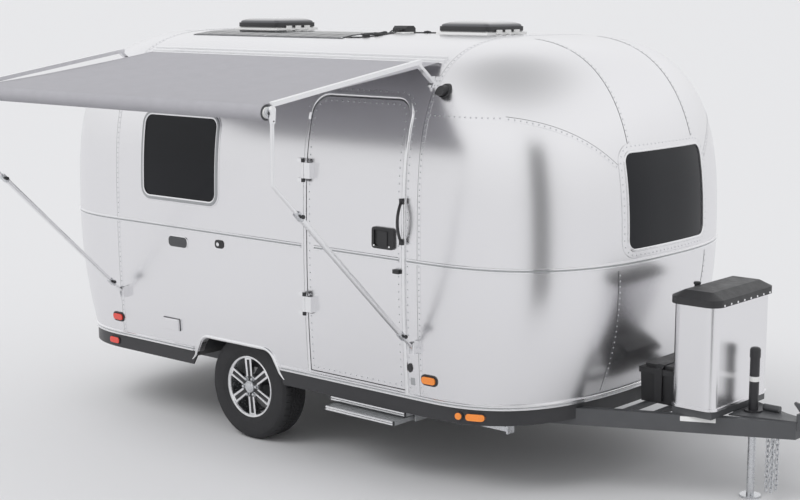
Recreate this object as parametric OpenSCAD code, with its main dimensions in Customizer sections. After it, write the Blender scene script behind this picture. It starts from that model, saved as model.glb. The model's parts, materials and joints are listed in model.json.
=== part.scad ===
// Single-axle travel trailer with a riveted aluminium shell, a patio awning and a tongue jack.
// Millimetres. X points to the hitch, Y to the street side and Z up.
// Sizes are measured from the axle line on the ground; every piece is then set out from the hitch ball.

/* [Body shell] */
// Half of the body's width at the belt line
half_w = 1179; // [1050:1:1250]
// Height of the shell's lower rim over the ground
rim_z = 530; // [515:1:540]
// Height of the body from the rim to the belt line
low_h = 822; // [790:1:850]
// Height of the body from the belt line to the ridge
high_h = 1264; // [1230:1:1330]
// Thickness of the shell's wall
wall_t = 50; // [40:1:60]
// Front riveted seam, where the front cap begins
front_x = 1530; // [1515:1:1600]
// Rear riveted seam, where the rear cap begins
rear_x = -1150; // [-1250:1:-1140]
// Length of the front cap
nose_l = 932; // [900:1:950]
// Length of the rear cap
tail_l = 953; // [900:1:1050]
// Squareness of the caps in plan
plan_pow = 2.68; // [2.4:0.01:3]
// Squareness of the body's section above the belt
side_pow = 3.7; // [3.4:0.01:4]
// Squareness of the caps' side view above the belt
end_pow = 2.76; // [2.5:0.01:3]
// Share of the width that the rim tucks in at the sides
side_tuck = 0.03; // [0.02:0.001:0.04]
// Share of a cap's length that the rim tucks in at the ends
end_tuck = 0.2; // [0.15:0.001:0.25]
// Height of the bright moulding along the rim
rim_trim_h = 34; // [26:1:40]
// How far the rim moulding stands out
rim_trim_t = 12; // [8:1:16]
// Height of the belt moulding
belt_rail_h = 30; // [20:1:40]
// How far the belt moulding stands out
belt_rail_t = 8; // [5:1:12]
// Thickness of the floor
floor_t = 30; // [24:1:36]
// Depth of the dark skirt below the rim
skirt_h = 92; // [80:1:110]
// Thickness of the skirt
skirt_t = 12; // [8:1:16]

/* [Door] */
// Rear edge of the door leaf
door_x = 640; // [620:1:660]
// Width of the door leaf
door_w = 758; // [720:1:770]
// From the ridge down to the top of the door leaf
door_drop = 354; // [345:1:420]
// Radius of the door's top corners
door_r = 100; // [70:1:120]
// Gap round the door leaf
door_gap = 6; // [5:0.5:8]
// Sill that is left below the door, over the rim moulding
sill_h = 16; // [10:1:24]
// Width of the trim round the doorway
door_trim_w = 26; // [20:1:30]
// How far the doorway trim stands out
door_trim_t = 12; // [8:1:14]
// Distance of the hinge line outside the belt line
hinge_out = 26; // [24:1:30]
// Radius of a hinge knuckle
hinge_r = 12; // [10:0.5:13]
// Length of one hinge
hinge_l = 96; // [80:1:110]
// Lower hinge above the door's lower edge
hinge_rise = 420; // [350:1:500]
// Upper hinge below the door's top
hinge_drop = 442; // [350:1:500]

/* [Windows] */
// Centre of the side windows
side_win_x = -525; // [-560:1:-500]
// Width of a side window's opening
side_win_w = 716; // [680:1:740]
// Lower edge of a side window's opening above the belt line
side_win_sill = 185; // [165:1:210]
// From the ridge down to the top of a side window's opening
side_win_drop = 526; // [500:1:580]
// Corner radius of the windows
win_r = 68; // [50:1:80]
// Width of the end windows' opening
end_win_w = 840; // [780:1:880]
// Lower edge of the end windows' opening above the belt line
end_win_sill = 66; // [62:1:90]
// From the ridge down to the top of the end windows' opening
end_win_drop = 630; // [610:1:700]
// Width of an end window's frame outside its opening
end_flange = 44; // [30:1:46]
// Width of a side window's frame outside its opening
win_flange = 34; // [24:1:40]
// Width of a window frame over its pane
win_lip = 12; // [8:1:16]
// How far a window frame stands out
win_frame_t = 9; // [6:0.5:12]
// Thickness of the window panes
pane_t = 6; // [4:0.5:8]

/* [Wheels and axle] */
// Radius of a tyre
wheel_r = 346; // [330:1:355]
// Width of a tyre
tyre_w = 215; // [195:1:225]
// Distance of the wheels' outer faces inside the body's width
wheel_inset = 89; // [84:1:99]
// Radius of the rim's bead seat
rim_r = 203; // [190:1:212]
// Radius of the wheel bolt circle
lug_circle_r = 69.85; // [60:0.05:80]
// Number of spoke pairs
spoke_n = 6; // [5:1:7]
// Radius of the wheel spindles
spindle_r = 20; // [16:0.5:24]
// Running clearance of shafts and sliding tubes
run_gap = 0.5; // [0.3:0.1:1]
// Half length of the wheel well
well_l = 420; // [400:1:440]
// Height of the wheel well's ceiling
well_z = 770; // [750:1:800]
// Top of the wheel arch in the wall
arch_z = 640; // [625:1:650]

/* [Chassis and tongue] */
// Height of the frame rails
rail_h = 100; // [80:1:110]
// Width of the frame rails
rail_w = 50; // [40:1:60]
// Distance of the main rails inside the body's width
rail_inset = 379; // [369:1:399]
// Hitch ball ahead of the jack
neck_l = 374; // [354:1:434]
// Radius of the ball socket
socket_r = 25.6; // [23:0.1:27]
// Jack ahead of the gas bottle cover
jack_gap = 80; // [70:1:104]
// Radius of the jack's outer tube
jack_r = 28; // [26:0.5:30]
// Top of the jack
jack_top_z = 884; // [860:1:920]
// Radius of the jack's foot
jack_foot_r = 62; // [50:1:75]
// Length of the battery box
battery_l = 250; // [230:1:270]
// Width of the battery box
battery_w = 400; // [360:1:420]
// Height of the battery box
battery_h = 230; // [200:1:250]
// Depth of the gas bottle cover
gas_l = 282; // [270:1:295]
// Width of the gas bottle cover
gas_w = 654; // [600:1:680]
// Height of the gas bottle cover
gas_h = 615; // [580:1:640]
// Height of the tray below the gas bottle cover
tray_h = 48; // [40:1:60]
// Height of the cover's cap
cap_h = 58; // [45:1:70]

/* [Awning] */
// Reach of the roller beyond the body's width
roller_reach = 1121; // [1021:1:1171]
// From the ridge down to the roller
roller_drop = 346; // [316:1:376]
// Radius of the roller with its cloth
roller_r = 41; // [36:1:46]
// Front arm behind the front seam
arm_front_in = 35; // [30:1:50]
// Rear arm ahead of the rear seam
arm_rear_in = 38; // [35:1:50]
// Width of the arms
arm_w = 30; // [24:1:34]
// Thickness of the arms' tubes
arm_t = 24; // [20:1:28]
// From the roller down to the elbow in the support arms
elbow_drop = 375; // [330:1:420]
// Support arms' lower brackets above the rim
arm_foot_rise = 321; // [300:1:340]
// Thickness of the awning cloth
cloth_t = 3; // [2:0.5:4]

/* [Roof gear] */
// Side of a roof vent's base
vent_s = 410; // [380:1:430]
// Height of a roof vent's flange
vent_flange_h = 14; // [10:1:18]
// Height of a roof vent's dome over its skirt
lid_h = 35; // [30:1:40]
// Rear vent ahead of the rear seam
vent_rear_in = 360; // [330:1:420]
// Front vent behind the front seam
vent_front_in = 480; // [440:1:520]
// Front edge of the flexible solar panel
panel_x = 400; // [350:1:430]
// Length of the solar panel
panel_l = 1400; // [1300:1:1450]
// Width of the solar panel
panel_w = 370; // [330:1:380]
// Distance of the solar panel from the ridge
panel_y = 230; // [225:1:260]

/* [Step and legs] */
// Rear end of the entrance step ahead of the door's rear edge
step_in = 160; // [140:1:180]
// Width of the step's treads
step_w = 560; // [520:1:580]
// Depth of one tread
tread_l = 200; // [180:1:215]
// Length of the step's swing arms
step_arm_l = 180; // [170:1:190]
// Length of a stabilizer leg
leg_l = 370; // [340:1:375]
// Width of a stabilizer leg
leg_w = 44; // [36:1:50]
// Rear stabilizer pivots ahead of the frame's rear end
leg_rear_in = 336.5; // [316.5:1:356.5]
// Front stabilizer pivots ahead of the front seam
leg_front_out = 30; // [20:1:60]

/* [Hidden] */
$fn = 48;

eps = 0.01;
belt_z = rim_z + low_h;
top_z = belt_z + high_h;
low_n = 4;
high_n = 12;
row_pow = 0.625;
crest_row = 0.9995;
stations = 24;
rail_top = rim_z - floor_t;
rail_bot = rail_top - rail_h;
rail_y = half_w - rail_inset;
wheel_y = half_w - wheel_inset;

// Axle tube ahead of the wheels' centres.
tube_x = 150;

// Tongue, set out forward from the shell's nose.
nose_x = front_x + nose_l;
battery_x = nose_x - 48;
gas_gap = 20;
gas_x = battery_x + battery_l + gas_gap + gas_l;
jack_x = gas_x + jack_gap;
hitch_x = jack_x + neck_l;
hitch_z = rail_top;

// Pieces on the skin lie this far off it.
seat = 0.1;
// Pieces of one solid reach this far into each other.
bite = 2;

// Rows up the shell: negative below the belt, positive above it, with the moulding edges among them.
trim_row = -1 + rim_trim_h/low_h;
belt_row = -belt_rail_h/2/low_h;
rows = concat(
  [-1],
  [for (i = [0:low_n]) trim_row + (belt_row - trim_row)*i/low_n],
  [belt_rail_h/2/high_h],
  [for (i = [1:high_n - 1]) pow(sin(90*i/high_n), row_pow)],
  [crest_row]);
row_n = len(rows);
low_belt_i = 1 + low_n;
high_belt_i = low_belt_i + 1;
roof_i = high_belt_i + 7;

function side_k(r) = r < 0 ? 1 - side_tuck*r*r : pow(1 - pow(r, side_pow), 1/side_pow);
function end_k(r) = r < 0 ? 1 - end_tuck*r*r : pow(1 - pow(r, end_pow), 1/end_pow);
function row_z(r, out) = belt_z + (r < 0 ? r*low_h : r*(high_h + out));
function wall_pt(r, out) = [-(half_w + out)*side_k(r), row_z(r, out)];
function reversed(list) = [for (i = [len(list) - 1:-1:0]) list[i]];
function mirrored(list) = [for (p = reversed(list)) [-p[0], p[1]]];

// The rows next below and next above a height.
function row_under(z) = max([for (i = [0:row_n - 1]) if (row_z(rows[i], 0) <= z) i]);
function row_over(z) = min([for (i = [0:row_n - 1]) if (row_z(rows[i], 0) >= z) i]);

// The skin as a table, so that fittings seat on its flat strips.
wall_table = [for (r = rows) [row_z(r, 0), -half_w*side_k(r)]];
roof_table = concat([for (r = rows) if (r > 0) [-half_w*side_k(r), row_z(r, 0)]], [[0, top_z]]);
function wall_y(z) = lookup(z, wall_table);
function roof_z(y) = lookup(-abs(y), roof_table);
function zs_between(z0, z1) = concat([z0],
  [for (r = rows) let (z = row_z(r, 0)) if (z > z0 + eps && z < z1 - eps) z], [z1]);
function ys_between(y0, y1) = concat([y0],
  [for (p = roof_table) if (p[0] > y0 + eps && p[0] < y1 - eps) p[0]], [y1]);

module at_hitch() {
  translate([-hitch_x, 0, -hitch_z]) children();
}

// A section in Y and Z, drawn along X.
module along_x(x0, x1) {
  translate([x0, 0, 0]) rotate([90, 0, 90]) linear_extrude(x1 - x0) children();
}

// An outline in X and Z, drawn through a wall along Y.
module along_y(y0, y1) {
  translate([0, y1, 0]) rotate([90, 0, 0]) linear_extrude(y1 - y0) children();
}

module both_sides() {
  children();
  mirror([0, 1, 0]) children();
}

module rounded(w, h, r) {
  square([w - 2*r, h], center = true);
  square([w, h - 2*r], center = true);
  for (sx = [-1, 1], sy = [-1, 1]) translate([sx*(w/2 - r), sy*(h/2 - r)]) circle(r);
}

// A plate that follows the curb wall's skin from d0 to d1 outside it.
module wall_pad(x0, x1, z0, z1, d0, d1) {
  zs = zs_between(z0, z1);
  along_x(x0, x1) polygon(concat([for (z = zs) [wall_y(z) - d1, z]],
    [for (z = reversed(zs)) [wall_y(z) - d0, z]]));
}

// A plate that follows the roof from d0 to d1 above it, with y1 no further than the ridge.
module roof_pad(x0, x1, y0, y1, d0, d1) {
  ys = ys_between(y0, y1);
  along_x(x0, x1) polygon(concat([for (y = ys) [y, roof_z(y) + d0]],
    [for (y = reversed(ys)) [y, roof_z(y) + d1]]));
}

// Strip of the body's section between two rows, from o0 to o1 outside the skin.
function strip(a, b, o0, o1) = concat([for (i = [a:b]) wall_pt(rows[i], o1)],
  [for (i = [b:-1:a]) wall_pt(rows[i], o0)]);

// One point of a cap, with its seam plane at x = 0.
function cap_pt(cap_l, r, out, v) = [
  (cap_l + out)*end_k(r)*pow(cos(v), 2/plan_pow),
  (half_w + out)*side_k(r)*sign(v)*pow(abs(sin(v)), 2/plan_pow),
  row_z(r, out)];

// Layer of a cap between rows a and b, from o0 to o1 outside the skin, closed over the top if asked.
module cap_layer(cap_l, a, b, o0, o1, top) {
  n = stations + 1;
  m = b - a + 1;
  vs = [for (i = [0:stations]) -90 + 180*i/stations];
  grid = concat([for (o = [o1, o0], j = [a:b], v = vs) cap_pt(cap_l, rows[j], o, v)],
    top ? [[0, 0, top_z + o1], [0, 0, top_z + o0]] : []);
  function p(o, j, i) = (o*m + j)*n + i;
  t = 2*m*n;
  e = m - 1;
  s = stations;
  polyhedron(grid, concat(
    [for (j = [0:e - 1], i = [0:s - 1]) each [
      [p(0, j, i), p(0, j + 1, i), p(0, j + 1, i + 1)], [p(0, j, i), p(0, j + 1, i + 1), p(0, j, i + 1)],
      [p(1, j, i), p(1, j + 1, i + 1), p(1, j + 1, i)], [p(1, j, i), p(1, j, i + 1), p(1, j + 1, i + 1)]]],
    [for (i = [0:s - 1]) each [
      [p(0, 0, i), p(0, 0, i + 1), p(1, 0, i + 1)], [p(0, 0, i), p(1, 0, i + 1), p(1, 0, i)]]],
    [for (j = [0:e - 1]) each [
      [p(0, j, 0), p(1, j, 0), p(1, j + 1, 0)], [p(0, j, 0), p(1, j + 1, 0), p(0, j + 1, 0)],
      [p(0, j, s), p(0, j + 1, s), p(1, j + 1, s)], [p(0, j, s), p(1, j + 1, s), p(1, j, s)]]],
    top
      ? concat([for (i = [0:s - 1]) each [[p(0, e, i), t, p(0, e, i + 1)], [p(1, e, i), p(1, e, i + 1), t + 1]]],
          [[p(0, e, 0), p(1, e, 0), t + 1], [p(0, e, 0), t + 1, t],
           [p(0, e, s), t, t + 1], [p(0, e, s), t + 1, p(1, e, s)]])
      : [for (i = [0:s - 1]) each [
          [p(0, e, i), p(1, e, i + 1), p(0, e, i + 1)], [p(0, e, i), p(1, e, i), p(1, e, i + 1)]]]));
}

module at_front() {
  translate([front_x, 0, 0]) children();
}

module at_rear() {
  translate([rear_x, 0, 0]) mirror([1, 0, 0]) children();
}

// Plan outline of the shell's rim, grown by out.
function rim_outline(out) = concat(
  [for (i = [0:stations]) let (q = cap_pt(nose_l, -1, out, -90 + 180*i/stations)) [front_x + q[0], q[1]]],
  [for (i = [0:stations]) let (q = cap_pt(tail_l, -1, out, 90 - 180*i/stations)) [rear_x - q[0], q[1]]]);

// Outline of a wheel arch in X and Z, grown by g.
arch_half_top = 305;
arch_half_low = 425;
arch_shift = -35;
arch_r = 90;
arch_low_z = rim_z - skirt_h;
arch_trim_w = 22;
arch_trim_t = 14;
function arch_outline(g) = let (x1 = arch_half_low + g, x0 = arch_half_top + g, z = arch_z + g, r = arch_r + g,
    lean = atan2(arch_half_low - arch_half_top, arch_z - arch_low_z),
    turn = 90 - lean, cx = x0 - r*tan(turn/2)) concat(
  [[arch_shift + x1, arch_low_z - 20], [arch_shift + x1, arch_low_z]],
  [for (i = [0:6]) let (a = lean + turn*i/6) [arch_shift + cx + r*cos(a), z - r + r*sin(a)]],
  [for (i = [0:6]) let (a = 90 + turn*i/6) [arch_shift - cx + r*cos(a), z - r + r*sin(a)]],
  [[arch_shift - x1, arch_low_z], [arch_shift - x1, arch_low_z - 20]]);

module arch_cut(g) {
  along_y(-half_w - 100, -half_w + 400) polygon(arch_outline(g));
}

side_win_z = belt_z + side_win_sill;
side_win_h = high_h - side_win_sill - side_win_drop;
end_win_z = belt_z + end_win_sill;
end_win_h = high_h - end_win_sill - end_win_drop;

// Doorway, with its sill over the rim moulding.
door_z = rim_z + rim_trim_h + sill_h;
door_top_z = top_z - door_drop;
hinge_zs = [door_z + hinge_rise, door_top_z - hinge_drop];
door_mid_x = door_x + door_w/2;
door_h = door_top_z - door_z;
module door_prism(g) {
  translate([door_mid_x, 0, door_z + door_h/2]) along_y(-half_w - 100, -half_w + 400) {
    rounded(door_w + 2*g, door_h + 2*g, door_r + g);
    translate([0, -door_r/2]) square([door_w + 2*g, door_h + 2*g - door_r], center = true);
  }
}

module side_win_prism(g) {
  translate([side_win_x, 0, side_win_z + side_win_h/2]) along_y(-half_w - 100, -half_w + 400)
    rounded(side_win_w + 2*g, side_win_h + 2*g, win_r + g);
}

module end_win_prism(g) {
  translate([0, 0, end_win_z + end_win_h/2]) along_x(300, max(nose_l, tail_l) + 200)
    rounded(end_win_w + 2*g, end_win_h + 2*g, win_r + g);
}

// Tongue: the two drawbar rails run from the main rails to the coupler.
neck_x = hitch_x - 85;
drawbar_rear_x = front_x + 215;
drawbar_a = atan2(rail_y, neck_x + 30 - drawbar_rear_x);
drawbar_len = (neck_x + 30 - drawbar_rear_x)/cos(drawbar_a);
main_rear_x = rear_x - tail_l/2;
main_front_x = drawbar_rear_x + 55;
cross_xs = [main_rear_x, rear_x + 250, tube_x + 200, front_x - 430, drawbar_rear_x + 5];
battery_bar_xs = [battery_x + 26, battery_x + 186];

module drawbar(g) {
  translate([drawbar_rear_x, -rail_y, rail_bot - g]) rotate([0, 0, drawbar_a])
    translate([0, -rail_w/2 - g, 0]) cube([drawbar_len, rail_w + 2*g, rail_h + 2*g]);
}

module chassis_frame() {
  color("dimgray") at_hitch() difference() {
    union() {
      both_sides() translate([main_rear_x, rail_y - rail_w/2, rail_bot])
        cube([main_front_x - main_rear_x, rail_w, rail_h]);
      for (x = cross_xs) translate([x, -rail_y, rail_bot]) cube([rail_w, 2*rail_y, rail_h]);
      both_sides() drawbar(0);
    }
    translate([neck_x, -200, 0]) cube([400, 400, 1000]);
  }
}

// Bars between the drawbar rails: two under the battery, and the rods that the chains hang on.
bar_w = 36;
bar_h = 24;
module tongue_bars() {
  color("dimgray") at_hitch() difference() {
    union() {
      for (x = battery_bar_xs) let (w = (neck_x + 30 - x)*tan(drawbar_a))
        translate([x, -w, rail_top - bar_h]) cube([bar_w, 2*w, bar_h]);
      for (s = [-1, 1]) let (x = chain_x + s*strand_gap/2, w = (neck_x + 30 - x)*tan(drawbar_a))
        translate([x, -w, chain_bar_z]) rotate([-90, 0, 0]) cylinder(r = link_wire/2, h = 2*w);
    }
    both_sides() drawbar(seat);
  }
}

// Coupler: a plate over the drawbar rails, a neck and a round hood over the ball, a latch and a tool tube.
plate_t = 8;
plate_back = 75;
plate_half = 150;
neck_half = 40;
hood_r = 50;
hood_rise = 60;
hood_drop = 45;
latch_half = 9;
tool_r = 20;
tool_l = 100;
tool_y = 62;
module coupler() {
  plate_x = jack_x - plate_back;
  crown = hitch_z + hood_rise;
  color("#2b2c2e") at_hitch() difference() {
    union() {
      translate([0, 0, rail_top]) linear_extrude(plate_t) polygon([[plate_x, -plate_half],
        [neck_x + 5, -neck_half - 5], [neck_x + 5, neck_half + 5], [plate_x, plate_half]]);
      translate([neck_x, -neck_half, hitch_z - hood_drop])
        cube([hitch_x - neck_x, 2*neck_half, hood_drop + hood_rise - 12]);
      translate([hitch_x, 0, hitch_z]) rotate_extrude() polygon([[0, -hood_drop], [hood_r, -hood_drop],
        [hood_r, 26], [hood_r - 5, 44], [hood_r - 18, 56], [hood_r - 32, hood_rise], [0, hood_rise]]);
      along_y(-latch_half, latch_half) polygon([[neck_x - 34, crown + 36], [neck_x + 10, crown - 14],
        [hitch_x + 24, crown - bite], [hitch_x + 12, crown + 18], [neck_x + 52, crown + 26],
        [neck_x - 30, crown + 46]]);
      translate([jack_x + jack_r + 8, tool_y, rail_top + plate_t + tool_r - bite]) rotate([0, 90, 0])
        cylinder(r = tool_r, h = tool_l);
    }
    translate([hitch_x, 0, hitch_z - hood_drop - 1]) cylinder(r = socket_r, h = 76);
    translate([jack_x, 0, 0]) cylinder(r = jack_r + seat, h = jack_top_z);
  }
}

jack_in_r = jack_r - 5;
jack_flange_r = 52;
jack_head_h = 60;
module jack_post() {
  foot = rail_bot - 20;
  deck = rail_top + plate_t;
  head = jack_top_z - jack_head_h;
  color("#1d1e20") at_hitch() translate([jack_x, 0, 0]) difference() {
    rotate_extrude() polygon([[0, foot], [jack_r, foot], [jack_r, deck + seat], [jack_flange_r, deck + seat],
      [jack_flange_r, deck + 10], [jack_r, deck + 10], [jack_r, head], [jack_r + 3, head],
      [jack_r + 3, jack_top_z - 14], [jack_r - 3, jack_top_z - 4], [jack_r - 14, jack_top_z], [0, jack_top_z]]);
    cylinder(r = jack_in_r, h = jack_top_z - 20);
  }
}

module jack_leg() {
  color("silver") at_hitch() translate([jack_x, 0, 0]) {
    cylinder(r = jack_in_r - run_gap, h = rail_top + 40);
    cylinder(r = jack_foot_r, h = 12);
  }
}

// Chain links: round bar bent to an oval, each hooked through the one above.
link_wire = 8;
link_in_l = 30;
link_in_w = 12;
link_n = 12;
chain_gap = 0.3;
link_arc = 4;
bar_sides = 5;
module link() {
  c = link_in_l/2 - link_in_w/2;
  r = (link_in_w + link_wire)/2;
  path = concat([for (i = [0:link_arc]) let (a = 180*i/link_arc) [r*cos(a), c + r*sin(a), a]],
    [for (i = [0:link_arc]) let (a = 180 + 180*i/link_arc) [r*cos(a), -c + r*sin(a), a]]);
  k = len(path);
  pts = [for (q = path, j = [0:bar_sides - 1]) let (b = 360*j/bar_sides, w = link_wire/2*cos(b))
    [q[0] + w*cos(q[2]), link_wire/2*sin(b), q[1] + w*sin(q[2])]];
  function id(i, j) = (i % k)*bar_sides + j % bar_sides;
  polyhedron(pts, [for (i = [0:k - 1], j = [0:bar_sides - 1]) each [
    [id(i, j), id(i, j + 1), id(i + 1, j + 1)], [id(i, j), id(i + 1, j + 1), id(i + 1, j)]]]);
}

chain_pitch = link_in_l - chain_gap;
chain_x = jack_x + 130;
chain_y = 30;
strand_gap = 30;
chain_bar_z = rail_bot + 12;
chain_top_z = chain_bar_z + link_wire/2 + chain_gap - link_in_l/2;
module safety_chains() {
  color("silver") at_hitch() for (side = [-1, 1], strand = [-1, 1], i = [0:link_n - 1])
    translate([chain_x + strand*strand_gap/2, side*chain_y, chain_top_z - i*chain_pitch])
      rotate([0, 0, 90*(i % 2)]) link();
}

gas_r = 60;
module gas_tray() {
  color("#2b2c2e") at_hitch() translate([gas_x - gas_l + 15, -gas_w/2 + 15, rail_top])
    difference() {
      cube([gas_l - 30, gas_w - 30, tray_h]);
      translate([20, 20, -1]) cube([gas_l - 70, gas_w - 70, tray_h - 5]);
    }
}

gas_z = rail_top + tray_h;
module gas_outline(g) {
  translate([gas_x - gas_l/2, 0]) rounded(gas_l + 2*g, gas_w + 2*g, gas_r + g);
}

// The cover has a lip round its foot.
lip_out = 8;
lip_h = 14;
module gas_cover() {
  color("gainsboro") at_hitch() translate([0, 0, gas_z]) {
    linear_extrude(gas_h) gas_outline(0);
    linear_extrude(lip_h) gas_outline(lip_out);
  }
}

// The cap has a rim that hangs over the cover, and chamfered shoulders up to a flat top.
cap_out = 20;
cap_rim_h = 18;
cap_shoulder = 0.4;
cap_in = 52;
module gas_cap() {
  color("#26272a") at_hitch() translate([0, 0, gas_z + gas_h]) difference() {
    hull() {
      translate([0, 0, -cap_rim_h]) linear_extrude(cap_rim_h + cap_h*cap_shoulder) gas_outline(cap_out);
      translate([0, 0, cap_h - 1]) linear_extrude(1) gas_outline(-cap_in);
    }
    translate([0, 0, -cap_rim_h - 1]) linear_extrude(cap_rim_h + 1) gas_outline(seat);
  }
}

// Battery box: a tapered tub, a lid with a raised middle, and a strap over it.
lid_out = 8;
lid_rim_h = 34;
lid_crown_h = 20;
strap_w = 50;
strap_t = 4;
module battery_box() {
  tub_h = battery_h - lid_rim_h - lid_crown_h;
  half = battery_w/2;
  out = half + lid_out + strap_t;
  turn_z = battery_h - lid_crown_h + strap_t;
  color("#2a2a2c") at_hitch() translate([battery_x, 0, rail_top]) {
    along_x(0, battery_l) polygon([[14 - half, 0], [half - 14, 0], [half, tub_h + bite], [-half, tub_h + bite]]);
    translate([-lid_out, -half - lid_out, tub_h])
      cube([battery_l + 2*lid_out, battery_w + 2*lid_out, lid_rim_h]);
    translate([battery_l/2, 0, battery_h - lid_crown_h - bite]) linear_extrude(lid_crown_h + bite)
      rounded(battery_l - 30, battery_w - 40, 20);
    along_x(battery_l/2 - strap_w/2, battery_l/2 + strap_w/2) polygon([[-out, 20], [out, 20],
      [out, turn_z], [half - 24, battery_h + strap_t], [24 - half, battery_h + strap_t], [-out, turn_z]]);
  }
}

// Axle: a tube across the frame, trailing arms, spindles and brake drums.
drum_y = wheel_y - tyre_w + 45;
tube_r = 36;
drum_r = 120;
module axle() {
  bush_y = rail_y + 40;
  color("#3a3b3d") at_hitch() {
    translate([tube_x, 0, rail_bot - tube_r]) rotate([90, 0, 0])
      cylinder(r = tube_r, h = 2*bush_y, center = true);
    both_sides() {
      translate([tube_x - 60, -rail_y - rail_w/2, rail_bot - 10]) cube([120, rail_w, 10]);
      translate([0, -bush_y, 0]) rotate([90, 0, 0]) linear_extrude(22) polygon([
        [tube_x - 20, rail_bot - 66], [tube_x + 20, rail_bot - 6], [-26, wheel_r + 30], [-26, wheel_r - 30]]);
      translate([0, -bush_y - 20, wheel_r]) rotate([90, 0, 0]) {
        cylinder(r = drum_r, h = drum_y - rail_y - 66);
        cylinder(r = spindle_r, h = wheel_y - 30 - bush_y - 20);
      }
    }
  }
}

module at_wheel(side) {
  at_hitch() translate([0, side*wheel_y, wheel_r]) rotate([90, 0, 0])
    mirror([0, 0, side < 0 ? 1 : 0]) children();
}

// Section of a tyre from its bead over the bulged sidewall to the edge of the tread.
bead_in = 20;
bulge_r = (rim_r + wheel_r)/2;
tread_in = 58;
sidewall_pow = 0.72;
tyre_section = concat(
  [for (a = [90:-15:15]) [bulge_r - (bulge_r - rim_r)*sin(a), bead_in - (bead_in - 2)*cos(a)]],
  [for (a = [0:15:90]) [bulge_r + (wheel_r - bulge_r)*pow(sin(a), sidewall_pow),
    tread_in - (tread_in - 2)*pow(cos(a), sidewall_pow)]]);
module tyre() {
  rotate_extrude() polygon(concat(tyre_section, [for (p = reversed(tyre_section)) [p[0], tyre_w - p[1]]]));
}

module tyre_curb() {
  color("#202124") at_wheel(-1) tyre();
}

module tyre_street() {
  color("#202124") at_wheel(1) tyre();
}

// Rim: a barrel with a lip, paired spokes with a pocket between them, a hub, lugs and a centre cap.
hub_r = 92;
hub_face = 26;
hub_t = 36;
lug_n = 6;
lug_r = 11;
lug_h = 16;
centre_r = 40;
spoke_face = 28;
spoke_t = 26;
spoke_half = 40;
pocket_half = 15;
module spoke() {
  tip = rim_r - 8;
  difference() {
    polygon([[60, -spoke_half + 8], [tip, -spoke_half], [tip, spoke_half], [60, spoke_half - 8]]);
    polygon([[hub_r + 10, -pocket_half + 5], [tip - 18, -pocket_half], [tip - 18, pocket_half],
      [hub_r + 10, pocket_half - 5]]);
  }
}

module rim() {
  difference() {
    union() {
      rotate_extrude() polygon([[rim_r, bead_in], [rim_r, tyre_w - bead_in], [rim_r - 12, tyre_w - bead_in],
        [rim_r - 22, 70], [rim_r - 22, 40], [rim_r - 10, bead_in]]);
      for (i = [0:spoke_n - 1]) rotate([0, 0, 360*(i + 0.5)/spoke_n]) translate([0, 0, spoke_face])
        linear_extrude(spoke_t) spoke();
      translate([0, 0, hub_face]) cylinder(r = hub_r, h = hub_t);
      for (i = [0:lug_n - 1]) rotate([0, 0, 360*i/lug_n])
        translate([lug_circle_r, 0, hub_face - lug_h]) cylinder(r = lug_r, h = lug_h + bite, $fn = 6);
      translate([0, 0, hub_face - 12]) cylinder(r = centre_r, h = 12 + bite);
    }
    translate([0, 0, hub_face - 6]) cylinder(r = spindle_r + run_gap, h = tyre_w);
  }
}

module rim_curb() {
  color("silver") at_wheel(-1) rim();
}

module rim_street() {
  color("silver") at_wheel(1) rim();
}

well_t = 4;
well_in_y = wheel_y - tyre_w - 26;
module well_box(g) {
  translate([-well_l - g, -half_w - 50, rim_z - floor_t - skirt_h])
    cube([2*(well_l + g), half_w + 50 - well_in_y + g, well_z - rim_z + floor_t + skirt_h + g]);
}

module floor_pan() {
  color("#4a4b4d") at_hitch() difference() {
    translate([0, 0, rail_top]) linear_extrude(floor_t) polygon(rim_outline(-skirt_t));
    both_sides() well_box(0);
  }
}

module wheel_wells() {
  color("#303133") at_hitch() both_sides() difference() {
    translate([-well_l - well_t, -half_w, rim_z])
      cube([2*(well_l + well_t), half_w - well_in_y + well_t, well_z - rim_z + well_t]);
    translate([-well_l, -half_w - 1, rim_z - 1]) cube([2*well_l, half_w + 1 - well_in_y, well_z - rim_z + 1]);
    along_x(-well_l - 100, well_l + 100) polygon(strip(0, high_belt_i, -wall_t, 200));
  }
}

skirt_gap = 2;
module skirt() {
  color("#232427") at_hitch() difference() {
    translate([0, 0, rim_z - skirt_h]) linear_extrude(skirt_h) difference() {
      polygon(rim_outline(0));
      polygon(rim_outline(-skirt_t));
    }
    both_sides() arch_cut(0);
    both_sides() drawbar(skirt_gap);
  }
}

module front_cap() {
  color("lightgray") at_hitch() at_front() difference() {
    cap_layer(nose_l, 0, row_n - 1, -wall_t, 0, true);
    end_win_prism(0);
  }
}

module rear_cap() {
  color("lightgray") at_hitch() at_rear() difference() {
    cap_layer(tail_l, 0, row_n - 1, -wall_t, 0, true);
    end_win_prism(0);
  }
}

module side_wall() {
  difference() {
    along_x(rear_x, front_x) polygon(strip(0, roof_i, -wall_t, 0));
    arch_cut(0);
    side_win_prism(0);
  }
}

module curb_wall() {
  color("lightgray") at_hitch() difference() {
    side_wall();
    door_prism(door_gap);
  }
}

module street_wall() {
  color("lightgray") at_hitch() mirror([0, 1, 0]) side_wall();
}

// Roof: a middle sheet with the vents, and a curved sheet on each side of it.
vent_xs = [rear_x + vent_rear_in, front_x - vent_front_in];
vent_wall = 30;
vent_hole = vent_s - 2*vent_wall;
module roof_section() {
  outer = [for (i = [roof_i:row_n - 1]) wall_pt(rows[i], 0)];
  inner = [for (i = [roof_i:row_n - 1]) wall_pt(rows[i], -wall_t)];
  polygon(concat(outer, [[0, top_z]], mirrored(outer),
    reversed(concat(inner, [[0, top_z - wall_t]], mirrored(inner)))));
}

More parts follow.
